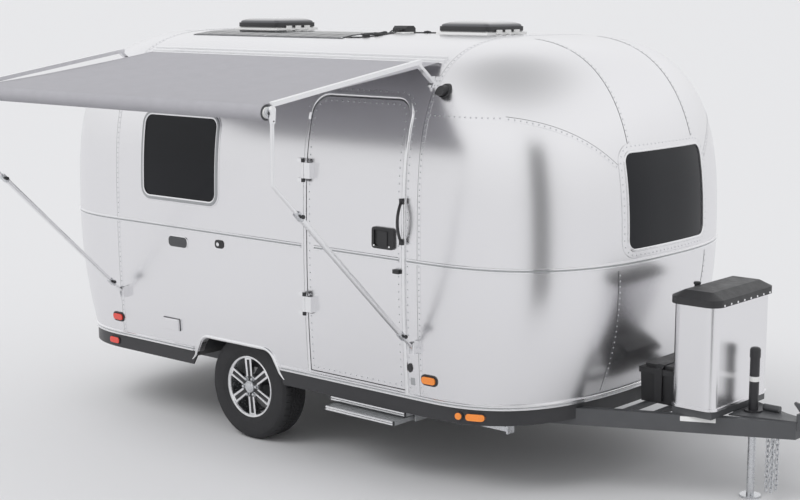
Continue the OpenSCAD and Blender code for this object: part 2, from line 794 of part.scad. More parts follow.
// The roof's middle row of plates, before, between and behind the vent holes.
module roof_panel() {
  ends = concat([rear_x], [for (x = vent_xs, s = [-1, 1]) x + s*vent_hole/2], [front_x]);
  color("gainsboro") at_hitch() for (i = [0:2:len(ends) - 2]) along_x(ends[i], ends[i + 1]) difference() {
    roof_section();
    for (s = [-1, 1]) translate([s*(half_w + vent_hole/2), top_z]) square(2*half_w, center = true);
  }
}

// The roof's outer sheets, from the vent holes' sides down to the walls.
module roof_sides() {
  color("gainsboro") at_hitch() both_sides() along_x(rear_x, front_x) difference() {
    roof_section();
    translate([half_w - vent_hole/2, top_z]) square(2*half_w, center = true);
  }
}

// Mouldings that run round the shell between two rows.
module ring(a, b, t) {
  at_front() cap_layer(nose_l, a, b, seat, t, false);
  at_rear() cap_layer(tail_l, a, b, seat, t, false);
  both_sides() along_x(rear_x, front_x) polygon(strip(a, b, seat, t));
}

module belt_rail() {
  color("silver") at_hitch() difference() {
    ring(low_belt_i, high_belt_i, belt_rail_t);
    door_prism(door_gap + door_trim_w);
  }
}

module rim_trim() {
  color("silver") at_hitch() difference() {
    ring(0, 1, rim_trim_t);
    both_sides() arch_cut(arch_trim_w);
  }
}

module arch_trims() {
  color("silver") at_hitch() both_sides() difference() {
    intersection() {
      wall_pad(rear_x, front_x, rim_z, arch_z + 40, seat, arch_trim_t);
      arch_cut(arch_trim_w);
    }
    arch_cut(0);
  }
}

win_row_low = row_under(end_win_z - end_flange);
win_row_top = row_over(end_win_z + end_win_h + end_flange);
module window_frames() {
  color("silver") at_hitch() {
    both_sides() difference() {
      intersection() {
        wall_pad(rear_x, front_x, side_win_z - 60, side_win_z + side_win_h + 60, seat, win_frame_t);
        side_win_prism(win_flange);
      }
      side_win_prism(-win_lip);
    }
    at_front() difference() {
      intersection() {
        cap_layer(nose_l, win_row_low, win_row_top, seat, win_frame_t, false);
        end_win_prism(end_flange);
      }
      end_win_prism(-win_lip);
    }
    at_rear() difference() {
      intersection() {
        cap_layer(tail_l, win_row_low, win_row_top, seat, win_frame_t, false);
        end_win_prism(end_flange);
      }
      end_win_prism(-win_lip);
    }
  }
}

module window_panes() {
  color("#15171a") at_hitch() {
    both_sides() intersection() {
      wall_pad(rear_x, front_x, side_win_z - 60, side_win_z + side_win_h + 60, -pane_t, 0);
      side_win_prism(-0.3);
    }
    at_front() intersection() {
      cap_layer(nose_l, win_row_low, win_row_top, -pane_t, 0, false);
      end_win_prism(-0.3);
    }
    at_rear() intersection() {
      cap_layer(tail_l, win_row_low, win_row_top, -pane_t, 0, false);
      end_win_prism(-0.3);
    }
  }
}

// Door: the leaf is as thick as the wall and carries its own stretch of belt moulding.
hinge_x = door_x - door_gap/2;
hinge_y = -half_w - hinge_out;
module door_leaf() {
  color("gainsboro") at_hitch() {
    intersection() {
      along_x(rear_x, front_x) polygon(strip(0, roof_i, -wall_t, 0));
      door_prism(0);
    }
    along_x(door_x + 60, door_x + door_w - 20) polygon(strip(low_belt_i, high_belt_i, -bite, belt_rail_t));
  }
}

module door_trim() {
  out = door_gap + door_trim_w;
  color("silver") at_hitch() difference() {
    intersection() {
      wall_pad(door_x - out - 1, door_x + door_w + out + 1, door_z, door_top_z + out + 1, seat, door_trim_t);
      door_prism(out);
    }
    door_prism(door_gap);
    translate([door_x - 2*out, -half_w - out, door_z - 1])
      cube([3*out, half_w/2, door_top_z - door_r - door_z]);
  }
}

// Hinges: ears on the wall carry a pin that turns with the door's knuckle and strap.
hinge_pin_r = 5;
ear_h = 22;
ear_gap = 1;
module door_hinges() {
  color("silver") at_hitch() for (z = hinge_zs) {
    translate([hinge_x, hinge_y, z - hinge_l/2]) cylinder(r = hinge_r, h = hinge_l);
    translate([hinge_x, hinge_y, z - hinge_l/2 - ear_gap - ear_h]) cylinder(r = hinge_pin_r,
      h = hinge_l + 2*(ear_gap + ear_h));
    along_x(hinge_x, door_x + 6) polygon([[hinge_y - 5, z - hinge_l/2], [hinge_y + 5, z - hinge_l/2],
      [hinge_y + 5, z + hinge_l/2], [hinge_y - 5, z + hinge_l/2]]);
    along_x(door_x + 6, door_x + 56) polygon(concat(
      [for (q = zs_between(z - hinge_l/2, z + hinge_l/2)) [wall_y(q) - seat, q]],
      [[hinge_y - 5, z + hinge_l/2], [hinge_y - 5, z - hinge_l/2]]));
  }
}

module hinge_mounts() {
  color("#1c1d1f") at_hitch() for (z = hinge_zs, s = [-1, 1]) let (
      z0 = z + s*(hinge_l/2 + ear_gap + ear_h/2) - ear_h/2, z1 = z0 + ear_h) difference() {
    union() {
      translate([hinge_x, hinge_y, z0]) cylinder(r = hinge_r, h = ear_h);
      along_x(hinge_x - 46, hinge_x) polygon([[hinge_y - 5, z0], [hinge_y + 5, z0], [hinge_y + 5, z1],
        [hinge_y - 5, z1]]);
      along_x(hinge_x - 46, hinge_x - 18) polygon(concat([for (q = zs_between(z0, z1)) [wall_y(q) - seat, q]],
        [[hinge_y - 5, z1], [hinge_y - 5, z0]]));
    }
    translate([hinge_x, hinge_y, z0 - 1]) cylinder(r = hinge_pin_r + run_gap, h = ear_h + 2);
  }
}

// Latch: a plate with a recess and a paddle in it, and a small catch at the door's edge.
latch_w = 168;
latch_h = 126;
latch_in = 134;
latch_rise = 116;
catch_drop = 68;
module door_latch() {
  x = door_x + door_w - latch_in;
  z = belt_z + latch_rise;
  edge = door_x + door_w;
  color("#1c1d1f") at_hitch() {
    intersection() {
      difference() {
        wall_pad(x - latch_w/2, x + latch_w/2, z - latch_h/2, z + latch_h/2, seat, 16);
        wall_pad(x - latch_w/2 + 18, x - latch_w/2 + 56, z - latch_h/2 + 16, z + latch_h/2 - 16, 6, 17);
      }
      translate([x, 0, z]) along_y(-half_w - 100, -half_w + 100) rounded(latch_w, latch_h, 20);
    }
    wall_pad(x - latch_w/2 + 50, x + latch_w/2 - 44, z - latch_h/2 + 20, z + latch_h/2 - 20, 10, 21);
    wall_pad(edge - 50, edge - 4, belt_z - catch_drop - 12, belt_z - catch_drop + 12, seat, 24);
  }
}

// Grab handle: a bow with a foot at each end on the doorway trim.
grab_rise = 228;
grab_half = 118;
grab_bow = 34;
grab_t = 11;
grab_w = 14;
grab_n = 12;
function grab_pt(i, d) = let (k = 2*i/grab_n - 1, z = belt_z + grab_rise + k*grab_half)
  [wall_y(z) - door_trim_t - 9 - d - grab_bow*(1 - k*k), z];
module grab_handle() {
  x = door_x + door_w + door_gap + door_trim_w/2;
  color("#2a2a2c") at_hitch() {
    for (k = [-1, 1]) let (z = belt_z + grab_rise + k*grab_half)
      wall_pad(x - 12, x + 12, z - 16, z + 16, door_trim_t + seat, door_trim_t + 9 + grab_t);
    along_x(x - grab_w/2, x + grab_w/2) polygon(concat([for (i = [0:grab_n]) grab_pt(i, 0)],
      [for (i = [grab_n:-1:0]) grab_pt(i, grab_t)]));
  }
}

// Awning, set out in the arms' plane. Its rail lies along the roof's edge and has three ribs.
rail_in = 264;
rail_pad_w = 60;
rail_d = 20;
rib_w = 9;
arm_front_x = front_x - arm_front_in;
arm_rear_x = rear_x + arm_rear_in;
roller_y = half_w + roller_reach;
roller_z = top_z - roller_drop;
elbow_z = roller_z - elbow_drop;
arm_foot_z = rim_z + arm_foot_rise;
rail_y0 = rail_in - half_w;
rail_y1 = rail_y0 + rail_pad_w;
cloth_x0 = arm_rear_x + 40;
cloth_x1 = arm_front_x - 40;
module awning_rail() {
  color("silver") at_hitch() {
    roof_pad(cloth_x0 - 20, cloth_x1 + 20, rail_y0, rail_y1, seat, 8);
    for (y = [rail_y0, rail_y0 + rail_pad_w/2 - rib_w/2, rail_y1 - rib_w])
      roof_pad(cloth_x0 - 20, cloth_x1 + 20, y, y + rib_w, 6, rail_d);
  }
}

cloth_in = [rail_y0, roof_z(rail_y0) + rail_d + seat];
cloth_out = [-roller_y, roller_z + roller_r + seat];
module awning_cloth() {
  color("#8f9194") at_hitch() along_x(cloth_x0, cloth_x1) polygon([cloth_in, cloth_out,
    cloth_out + [0, cloth_t], cloth_in + [0, cloth_t]]);
}

module awning_roller() {
  color("#a9abae") at_hitch() {
    translate([cloth_x0, -roller_y, roller_z]) rotate([0, 90, 0])
      cylinder(r = roller_r, h = cloth_x1 - cloth_x0);
    for (x = [arm_rear_x - arm_w/2, cloth_x1]) translate([x, -roller_y, roller_z]) rotate([0, 90, 0])
      cylinder(r = roller_r - 8, h = arm_front_x + arm_w/2 - cloth_x1);
  }
}

// Outline in Y and Z of a tube of thickness t that runs through three points, with a mitred bend.
function unit(v) = v/norm(v);
function left_of(v) = [-v[1], v[0]];
function bent(p, q, r, t) = let (a = left_of(unit(q - p)), b = left_of(unit(r - q)),
    m = (a + b)/(1 + a*b)) [
  p + a*t/2, q + m*t/2, r + b*t/2, r - b*t/2, q - m*t/2, p - a*t/2];

rafter_in = 48;
rafter_drop = 125;
strut_drop = 242;
rafter_top = [rafter_in - half_w, top_z - rafter_drop];
strut_z = top_z - strut_drop;
strut_top = rafter_top - [30, 6];
module rafters() {
  start = [-roller_y, roller_z + roller_r - 8 + arm_t/2];
  foot = [wall_y(strut_z) - 22, strut_z];
  color("lightgray") at_hitch() for (x = [arm_rear_x, arm_front_x]) along_x(x - arm_w/2, x + arm_w/2) {
    polygon(bent(start, (start + rafter_top)/2, rafter_top, arm_t));
    polygon(bent(foot, (foot + strut_top)/2, strut_top, arm_t - 6));
  }
}

module support_arms() {
  foot = [wall_y(arm_foot_z) - 30, arm_foot_z];
  color("lightgray") at_hitch() for (x = [arm_rear_x, arm_front_x]) along_x(x - arm_w/2, x + arm_w/2)
    polygon(bent([-roller_y, roller_z - roller_r + 8], [-roller_y, elbow_z], foot, arm_t));
}

// Fork brackets that hold the arms' feet and the rafters' struts.
fork_gap = 0.2;
module fork(x, z, h, d) {
  difference() {
    wall_pad(x - arm_w/2 - 8, x + arm_w/2 + 8, z - h/2, z + h/2, seat, d);
    wall_pad(x - arm_w/2 - fork_gap, x + arm_w/2 + fork_gap, z - h/2 - 1, z + h/2 + 1, 8, d + 1);
  }
}

module arm_brackets() {
  color("silver") at_hitch() for (x = [arm_rear_x, arm_front_x]) {
    fork(x, arm_foot_z, 70, 44);
    fork(x, strut_z, 60, 34);
  }
}

// Roof vents: a flange with tabs, an upstand round the hole, and a domed lid that hangs over the upstand.
upstand_t = 8;
tab_w = 42;
tab_pitch = 90;
lid_gap = 6;
lid_s = vent_s - 14;
lid_skirt_h = 30;
lid_skirt_t = 6;
flange_top = top_z + vent_flange_h;
lid_z = flange_top + lid_gap;
lid_pin_r = 4;
lid_ear_r = 9;
lid_ear_w = 16;
lid_pin_x = -lid_s/2 - lid_ear_r - 5;
lid_pin_z = lid_z + 10;
lid_ear_y = 120;
module vent_outline(w, top) {
  edge = roof_z(w/2) + seat;
  polygon([[-w/2, edge], [0, top_z + seat], [w/2, edge], [w/2, top], [-w/2, top]]);
}

module vent_bases() {
  hole = vent_s - 2*vent_wall;
  rim = hole + 2*upstand_t;
  color("whitesmoke") at_hitch() for (x = vent_xs) difference() {
    union() {
      along_x(x - vent_s/2, x + vent_s/2) vent_outline(vent_s, flange_top);
      along_x(x - rim/2, x + rim/2) vent_outline(rim, flange_top + 28);
      for (y = [-tab_pitch, 0, tab_pitch]) translate([x + vent_s/2 - bite, y - tab_w/2, top_z + 3])
        cube([16, tab_w, 27]);
      for (y = [-lid_ear_y, lid_ear_y]) {
        translate([x + lid_pin_x - lid_ear_r, y - lid_ear_w/2, top_z + 3])
          cube([-lid_pin_x + lid_ear_r - vent_s/2 + bite, lid_ear_w, lid_pin_z - top_z - 3]);
        translate([x + lid_pin_x, y + lid_ear_w/2, lid_pin_z]) rotate([90, 0, 0])
          cylinder(r = lid_ear_r, h = lid_ear_w);
      }
    }
    translate([x - hole/2, -hole/2, top_z - 100]) cube([hole, hole, 300]);
    translate([x + lid_pin_x, -vent_s, lid_pin_z]) rotate([-90, 0, 0])
      cylinder(r = lid_pin_r + run_gap, h = 2*vent_s);
  }
}

// Square slab of side w at height z, for the lids' domes.
module slab(w, z, t) {
  translate([0, 0, z]) linear_extrude(t) rounded(w, w, 18);
}

module vent_lid(x) {
  dome = lid_z + lid_skirt_h;
  color("#3b3d40") at_hitch() translate([x, 0, 0]) {
    difference() {
      union() {
        slab(lid_s, lid_z, lid_skirt_h);
        hull() {
          slab(lid_s - 8, dome - bite, bite);
          slab(lid_s - 90, dome + lid_h*0.6, 1);
          slab(lid_s - 190, dome + lid_h - 1, 1);
        }
      }
      slab(lid_s - 2*lid_skirt_t, lid_z - 1, lid_skirt_h - 4);
    }
    translate([lid_pin_x, -lid_ear_y - 16, lid_pin_z]) rotate([-90, 0, 0])
      cylinder(r = lid_pin_r, h = 2*lid_ear_y + 32);
    translate([lid_pin_x, -lid_ear_y + 20, lid_pin_z - lid_pin_r])
      cube([-lid_pin_x - lid_s/2 + 4, 2*lid_ear_y - 40, 2*lid_pin_r]);
  }
}

module vent_lid_rear() {
  vent_lid(vent_xs[0]);
}

module vent_lid_front() {
  vent_lid(vent_xs[1]);
}

module solar_panel() {
  color("#33363b") at_hitch() roof_pad(panel_x - panel_l, panel_x, -panel_y - panel_w, -panel_y, seat, 4);
}

// Cable entry ahead of the solar panel: a rounded box on a flange.
entry_x = panel_x + 40;
entry_l = 150;
entry_y = -60;
entry_w = 140;
entry_h = 46;
gland_r = 9;
gland_out = 24;
gland_rise = 18;
gland_xs = [50, 75, 100];
module cable_box() {
  y0 = entry_y - entry_w;
  edge = 20;
  color("#1d1e20") at_hitch() {
    roof_pad(entry_x, entry_x + entry_l, y0, entry_y, seat, 6);
    along_x(entry_x + edge, entry_x + entry_l - edge) polygon([[y0 + edge, roof_z(y0 + edge) + 3],
      [y0 + edge, roof_z(y0) + entry_h - 16], [y0 + edge + 18, roof_z(y0) + entry_h],
      [entry_y - edge - 18, roof_z(entry_y) + entry_h], [entry_y - edge, roof_z(entry_y) + entry_h - 16],
      [entry_y - edge, roof_z(entry_y - edge) + 3]]);
    for (x = gland_xs) translate([entry_x + x, y0 + edge + bite, roof_z(y0) + gland_rise]) rotate([90, 0, 0])
      cylinder(r = gland_r, h = gland_out + bite);
  }
}

// Leads that lie on the roof from the solar panel to the cable entry, and from there to the front vent.
// A point of a route is its X, its Y and the height of the lead's centre over the roof.
lead_r = 4;
lead_sides = 8;
lead_steps = 3;
lie = lead_r + 0.4;
gland_y = entry_y - entry_w + 20 - gland_out - seat;
lead_routes = [
  [[panel_x + seat, -290, lie], [panel_x + 36, -290, lie], [panel_x + 80, -278, lie], [panel_x + 92, -252, lie],
   [entry_x + 50, gland_y - 16, gland_rise], [entry_x + 50, gland_y, gland_rise]],
  [[panel_x + seat, -420, lie], [panel_x + 50, -420, lie], [panel_x + 110, -410, lie],
   [panel_x + 135, -360, lie], [panel_x + 125, -290, lie], [panel_x + 118, -252, 8],
   [entry_x + 75, gland_y - 16, gland_rise], [entry_x + 75, gland_y, gland_rise]],
  [[panel_x + seat, -560, lie], [panel_x + 60, -560, lie], [panel_x + 130, -545, lie],
   [panel_x + 175, -490, lie], [panel_x + 180, -400, lie], [panel_x + 165, -310, lie], [panel_x + 145, -252, 8],
   [entry_x + 100, gland_y - 16, gland_rise], [entry_x + 100, gland_y, gland_rise]],
  [[entry_x + entry_l + seat, -130, lie], [entry_x + 200, -130, lie], [entry_x + 290, -110, lie],
   [entry_x + 370, -70, lie], [vent_xs[1] - vent_s/2 - seat, -70, lie]]];
function blend(a, b, c, d, t) = (2*b + (c - a)*t + (2*a - 5*b + 4*c - d)*t*t + (3*b - a - 3*c + d)*t*t*t)/2;
function lead_path(r) = let (n = len(r) - 1) concat(
  [for (i = [0:n - 1], k = [0:lead_steps - 1])
    blend(r[max(i - 1, 0)], r[i], r[i + 1], r[min(i + 2, n)], k/lead_steps)], [r[n]]);
module lead(route) {
  path = lead_path(route);
  n = len(path);
  m = lead_sides;
  last = len(route) - 1;
  ring_pts = [for (i = [0:n - 1]) let (q = path[i], d = unit(i == 0 ? route[1] - route[0] :
      i == n - 1 ? route[last] - route[last - 1] : path[i + 1] - path[i - 1]),
      side = unit([-d[1], d[0], 0]), rise = cross(d, side)) for (j = [0:m - 1]) let (a = 360*j/m)
    [q[0], q[1], roof_z(q[1]) + q[2]] + lead_r*(side*cos(a) + rise*sin(a))];
  polyhedron(ring_pts, concat([[for (j = [0:m - 1]) j]], [[for (j = [m - 1:-1:0]) (n - 1)*m + j]],
    [for (i = [0:n - 2], j = [0:m - 1]) let (q = (j + 1) % m) each [
      [i*m + j, (i + 1)*m + j, (i + 1)*m + q], [i*m + j, (i + 1)*m + q, i*m + q]]]));
}

module roof_leads() {
  color("#1a1b1d") at_hitch() for (route = lead_routes) lead(route);
}

// A lens on the front or rear cap's skin, or on the skirt below it.
module cap_lens(x, z, w, h, r, d) {
  a = row_under(z - h/2);
  b = row_over(z + h/2);
  intersection() {
    if (x > 0) at_front() cap_layer(nose_l, a, b, seat, d, false);
    else at_rear() cap_layer(tail_l, a, b, seat, d, false);
    translate([x, 0, z]) along_y(-half_w - 100, 0) rounded(w, h, r);
  }
}

module skirt_lens(x, w, h, r) {
  intersection() {
    translate([0, 0, rim_z - skirt_h]) linear_extrude(skirt_h - 4) difference() {
      polygon(rim_outline(lens_d));
      polygon(rim_outline(seat));
    }
    translate([x, 0, rim_z - skirt_h/2]) along_y(-half_w - 100, -half_w/2) rounded(w, h, r);
  }
}

lens_d = 14;
lens_h = 40;
long_lens_w = 100;
round_lens_out = 254;
long_lens_out = 348;
rear_lens_out = 124;
marker_w = 96;
marker_h = 42;
marker_rise = 136;
module amber_lamps() {
  color("orange") at_hitch() both_sides() {
    cap_lens(front_x + 60, rim_z + marker_rise, marker_w, marker_h, 18, 18);
    skirt_lens(front_x + round_lens_out, lens_h, lens_h, lens_h/2 - 0.1);
    skirt_lens(front_x + long_lens_out, long_lens_w, lens_h, 16);
  }
}

tail_rise = 400;
tail_s = 150;
tail_inset = 479;
tail_d = 26;
tail_z = rim_z + tail_rise;
module red_lamps() {
  color("firebrick") at_hitch() both_sides() {
    cap_lens(rear_x - 60, rim_z + marker_rise - 6, marker_w, marker_h, 18, 18);
    skirt_lens(rear_x - rear_lens_out, long_lens_w, lens_h, 16);
    intersection() {
      at_rear() cap_layer(tail_l, row_under(tail_z - tail_s/2), row_over(tail_z + tail_s/2), seat, tail_d, false);
      translate([0, tail_inset - half_w, tail_z]) along_x(rear_x - tail_l - 100, rear_x - tail_l/3)
        rounded(tail_s, tail_s, 60);
    }
  }
}

porch_drop = 286;
porch_r = 38;
porch_z = top_z - porch_drop;
module porch_lamp() {
  color("#1d1e20") at_hitch() for (q = [[porch_r, 16], [porch_r - 9, 44]]) intersection() {
    at_front() cap_layer(nose_l, row_under(porch_z - porch_r), row_over(porch_z + porch_r), seat, q[1], false);
    translate([front_x + 72, 0, porch_z]) along_y(-half_w - 100, 0) circle(q[0]);
  }
}

// Blank badge plate and a lock below the side window, and a hatch low on the wall behind the wheel.
badge_w = 140;
badge_h = 48;
lock_w = 60;
lock_h = 38;
hatch_w = 160;
hatch_h = 76;
badge_back = 20;
badge_drop = 96;
lock_ahead = 380;
lock_drop = 70;
hatch_back = 125;
hatch_rise = 158;
module fitting(x, z, w, h, d) {
  wall_pad(x - w/2, x + w/2, z - h/2, z + h/2, seat, d);
}

module side_fittings() {
  color("silver") at_hitch() {
    fitting(side_win_x - badge_back, belt_z - badge_drop, badge_w, badge_h, 5);
    fitting(side_win_x + lock_ahead, belt_z - lock_drop, lock_w, lock_h, 8);
    fitting(side_win_x - hatch_back, rim_z + hatch_rise, hatch_w, hatch_h, 22);
  }
}

// Entrance step below the door: a fixed upper tread on hangers, and a lower tread on swing arms.
step_x = door_x + step_in;
tread_t = 26;
groove_w = 10;
groove_t = 3;
step_pin_r = 7;
arm_plate = 8;
hanger_t = 8;
side_gap = 5;
pivot_y = 169 - half_w;
pivot_z = rail_bot - 24;
tread_pin_y = pivot_y + step_arm_l;
tread_out_y = -half_w - 21;
upper_out_y = 54 - half_w;
hanger_y = -rail_y - rail_w/2;
hanger_x0 = step_x - 2*side_gap - arm_plate - hanger_t;
hanger_x1 = step_x + step_w + 2*side_gap + arm_plate;

// Grooves along a tread's top, from its outer edge inward.
module grooves(x0, x1, y0, n, z) {
  for (i = [0:n - 1]) translate([x0, y0 + 30 + 2*i*groove_w, z - groove_t])
    cube([x1 - x0, groove_w, groove_t + 1]);
}

module step_frame() {
  top = rail_bot + 6 + tread_t;
  color("#55575a") at_hitch() difference() {
    union() {
      for (x = [hanger_x0, hanger_x1]) {
        translate([x, pivot_y - 24, pivot_z - 16])
          cube([hanger_t, hanger_y - pivot_y + 24, rail_bot - pivot_z + 36]);
        translate([x, hanger_y - 12, rail_bot]) cube([hanger_t, 12, rail_h]);
      }
      translate([hanger_x0, upper_out_y, rail_bot + 6])
        cube([hanger_x1 + hanger_t - hanger_x0, hanger_y - upper_out_y, tread_t]);
    }
    for (x = [hanger_x0, hanger_x1]) translate([x - 1, pivot_y, pivot_z]) rotate([0, 90, 0])
      cylinder(r = step_pin_r + run_gap, h = hanger_t + 2);
    grooves(hanger_x0 + hanger_t, hanger_x1, upper_out_y, 4, top);
  }
}

module step_arms() {
  color("#8a8c8f") at_hitch() for (x = [step_x - side_gap - arm_plate, step_x + step_w + side_gap]) {
    translate([x, pivot_y, pivot_z - 10]) cube([arm_plate, step_arm_l, 20]);
    for (y = [pivot_y, tread_pin_y]) translate([x, y, pivot_z]) rotate([0, 90, 0])
      cylinder(r = 2*step_pin_r, h = arm_plate);
    translate([x < step_x ? hanger_x0 : x, pivot_y, pivot_z]) rotate([0, 90, 0])
      cylinder(r = step_pin_r, h = hanger_t + side_gap + arm_plate);
    translate([x < step_x ? x : x - side_gap - hanger_t, tread_pin_y, pivot_z]) rotate([0, 90, 0])
      cylinder(r = step_pin_r, h = hanger_t + side_gap + arm_plate);
  }
}

module step_tread() {
  color("#b9bbbe") at_hitch() difference() {
    union() {
      translate([step_x, tread_out_y, pivot_z - tread_t/2]) cube([step_w, tread_l, tread_t]);
      for (x = [step_x, step_x + step_w - hanger_t]) translate([x, tread_out_y, pivot_z - tread_t/2])
        cube([hanger_t, tread_pin_y + 16 - tread_out_y, tread_t]);
    }
    for (x = [step_x, step_x + step_w - hanger_t]) translate([x - 1, tread_pin_y, pivot_z]) rotate([0, 90, 0])
      cylinder(r = step_pin_r + run_gap, h = hanger_t + 2);
    grooves(step_x + hanger_t, step_x + step_w - hanger_t, tread_out_y, 6, pivot_z + tread_t/2);
  }
}

// Stabilizers: a bracket under each corner of the frame, and a leg that swings down from it.
leg_xs = [main_rear_x + leg_rear_in, front_x + leg_front_out];
leg_pivot_z = rail_bot - 40;
leg_pin_r = 8;
leg_side_gap = 5;
leg_plate = 6;
module leg_brackets() {
  color("#2b2c2e") at_hitch() for (x = leg_xs) both_sides() difference() {
    union() {
      translate([x - 60, -rail_y - leg_w/2 - leg_side_gap - leg_plate, rail_bot - 6])
        cube([120, leg_w + 2*leg_side_gap + 2*leg_plate, 6]);
      for (s = [-1, 1]) translate([x, -rail_y + s*(leg_w/2 + leg_side_gap + leg_plate/2) - leg_plate/2, 0]) {
        translate([-34, 0, leg_pivot_z]) cube([68, leg_plate, rail_bot - leg_pivot_z - 2]);
        translate([0, 0, leg_pivot_z]) rotate([-90, 0, 0]) cylinder(r = 34, h = leg_plate);
      }
    }
    translate([x, -rail_y - leg_w, leg_pivot_z]) rotate([-90, 0, 0])
      cylinder(r = leg_pin_r + run_gap, h = 2*leg_w);
  }
}

module leg(x, side) {
  d = sign(x);
  color("silver") at_hitch() translate([x, side*rail_y, leg_pivot_z]) {
    rotate([90, 0, 0]) cylinder(r = leg_pin_r, h = leg_w + 2*(leg_side_gap + leg_plate), center = true);
    rotate([90, 0, 0]) cylinder(r = 16, h = leg_w - 8, center = true);
    translate([d > 0 ? 0 : -leg_l + 20, -leg_w/2 + 4, -14]) cube([leg_l - 20, leg_w - 8, 28]);
    translate([d*(leg_l - 20) - 6, -leg_w/2 - 10, -24]) cube([12, leg_w + 20, 48]);
  }
}

module leg_front_curb() {
  leg(leg_xs[1], -1);
}

module leg_front_street() {
  leg(leg_xs[1], 1);
}

module leg_rear_curb() {
  leg(leg_xs[0], -1);
}

module leg_rear_street() {
  leg(leg_xs[0], 1);
}

chassis_frame();
tongue_bars();
coupler();
jack_post();
jack_leg();
safety_chains();
gas_tray();
gas_cover();
gas_cap();
battery_box();
axle();
tyre_curb();
tyre_street();
rim_curb();
rim_street();
floor_pan();
wheel_wells();
skirt();
front_cap();
rear_cap();
curb_wall();
street_wall();
roof_panel();
roof_sides();
belt_rail();
rim_trim();
arch_trims();
window_frames();
window_panes();
door_leaf();
door_trim();
door_hinges();
hinge_mounts();
door_latch();
grab_handle();
awning_rail();
awning_cloth();
awning_roller();
rafters();
support_arms();
arm_brackets();
vent_bases();
vent_lid_rear();
vent_lid_front();
solar_panel();
cable_box();
roof_leads();
amber_lamps();
red_lamps();
porch_lamp();
side_fittings();
step_frame();
step_arms();
step_tread();
leg_brackets();
leg_front_curb();
leg_front_street();
leg_rear_curb();
leg_rear_street();
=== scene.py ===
"""Riveted aluminium travel trailer: the looks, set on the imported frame. Metres, row frame."""
import json
import math
import bmesh
import bpy
import numpy as np
from mathutils import Matrix, Vector
from mathutils.geometry import delaunay_2d_cdt


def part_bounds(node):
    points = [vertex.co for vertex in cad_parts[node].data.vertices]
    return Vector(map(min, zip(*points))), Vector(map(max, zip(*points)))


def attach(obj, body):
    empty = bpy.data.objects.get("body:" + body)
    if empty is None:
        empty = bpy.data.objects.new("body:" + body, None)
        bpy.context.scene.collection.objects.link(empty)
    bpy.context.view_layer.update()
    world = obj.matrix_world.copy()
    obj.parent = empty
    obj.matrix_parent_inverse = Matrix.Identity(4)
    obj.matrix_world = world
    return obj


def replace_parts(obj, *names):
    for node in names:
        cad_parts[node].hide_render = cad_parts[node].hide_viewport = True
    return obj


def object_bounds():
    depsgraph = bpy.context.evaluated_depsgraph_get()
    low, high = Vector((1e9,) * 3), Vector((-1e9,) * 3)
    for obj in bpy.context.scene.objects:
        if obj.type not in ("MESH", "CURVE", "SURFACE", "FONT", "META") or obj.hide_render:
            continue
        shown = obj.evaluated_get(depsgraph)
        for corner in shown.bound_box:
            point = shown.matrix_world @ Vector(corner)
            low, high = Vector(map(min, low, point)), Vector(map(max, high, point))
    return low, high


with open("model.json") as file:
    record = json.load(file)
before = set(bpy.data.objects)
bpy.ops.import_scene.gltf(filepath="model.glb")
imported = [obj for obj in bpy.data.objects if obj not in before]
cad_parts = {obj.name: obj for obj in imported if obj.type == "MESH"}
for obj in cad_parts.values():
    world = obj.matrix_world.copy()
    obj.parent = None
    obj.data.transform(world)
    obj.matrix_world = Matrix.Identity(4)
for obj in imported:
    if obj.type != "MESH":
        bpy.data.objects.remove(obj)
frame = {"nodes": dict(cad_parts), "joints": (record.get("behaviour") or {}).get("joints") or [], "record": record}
CAD_LOW, CAD_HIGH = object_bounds()
NODES = frame["nodes"]
JOINTS = {j["name"]: j for j in frame["joints"]}

# The axle line on the ground, from which places on the trailer are measured.
AXLE_X, _, WHEEL_Z = JOINTS["wheel_curb_spin"]["pos_m"]
GROUND_Z = CAD_LOW.z

# The shell's skin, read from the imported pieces. A cap goes by its end: 1 at the front, -1 at the rear.
ROOF_LOW, ROOF_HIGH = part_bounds("roof_panel")
WALL_LOW, WALL_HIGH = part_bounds("curb_wall")
BELT_LOW, BELT_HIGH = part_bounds("belt_rail")
REAR_X, FRONT_X, TOP_Z = ROOF_LOW.x, ROOF_HIGH.x, ROOF_HIGH.z
RIM_Z, ROOF_EDGE_Z = WALL_LOW.z, WALL_HIGH.z
BELT_Z = (BELT_LOW.z + BELT_HIGH.z)/2
HALF_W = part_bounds("street_wall")[1].y
CAP_X = {1: FRONT_X, -1: REAR_X}
CAP_L = {1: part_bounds("front_cap")[1].x - FRONT_X, -1: REAR_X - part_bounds("rear_cap")[0].x}
LOW_H = BELT_Z - RIM_Z
HIGH_H = TOP_Z - BELT_Z
WALL_T = 0.050
PLAN_POW = 2.68
SIDE_POW = 3.7
END_POW = 2.76
SIDE_TUCK = 0.03
END_TUCK = 0.2
TOP_ROW = 0.999999

# Openings in the shell.
DOOR_LOW, DOOR_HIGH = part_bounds("door_leaf")
DOOR_X0, DOOR_Z0, DOOR_X1, DOOR_Z1 = DOOR_LOW.x, DOOR_LOW.z, DOOR_HIGH.x, DOOR_HIGH.z
DOOR_GAP = 0.006
DOOR_R = 0.100
WIN_R = 0.068
PANE_GAP = 0.0003
ARCH_R = 0.090
VENT_HOLE = 0.350

# Spacing of points along lines, and how deep mouldings and plates are let into the skin.
STEP = 0.03
SINK = 0.001
SEAT = 0.0005


def road(x, y, z):
    """A place measured from the axle line on the ground, in the row frame."""
    return Vector((x + AXLE_X, y, z + GROUND_Z))


# Materials, one for each slot of the record.
MATERIALS = {}
COAT_ROUGH = 0.08
WAVE_SCALE = 1.1


def assign(node, **values):
    """Sets a node's inputs; an underscore stands for a space in their names."""
    for name, value in values.items():
        node.inputs[name.replace("_", " ")].default_value = value


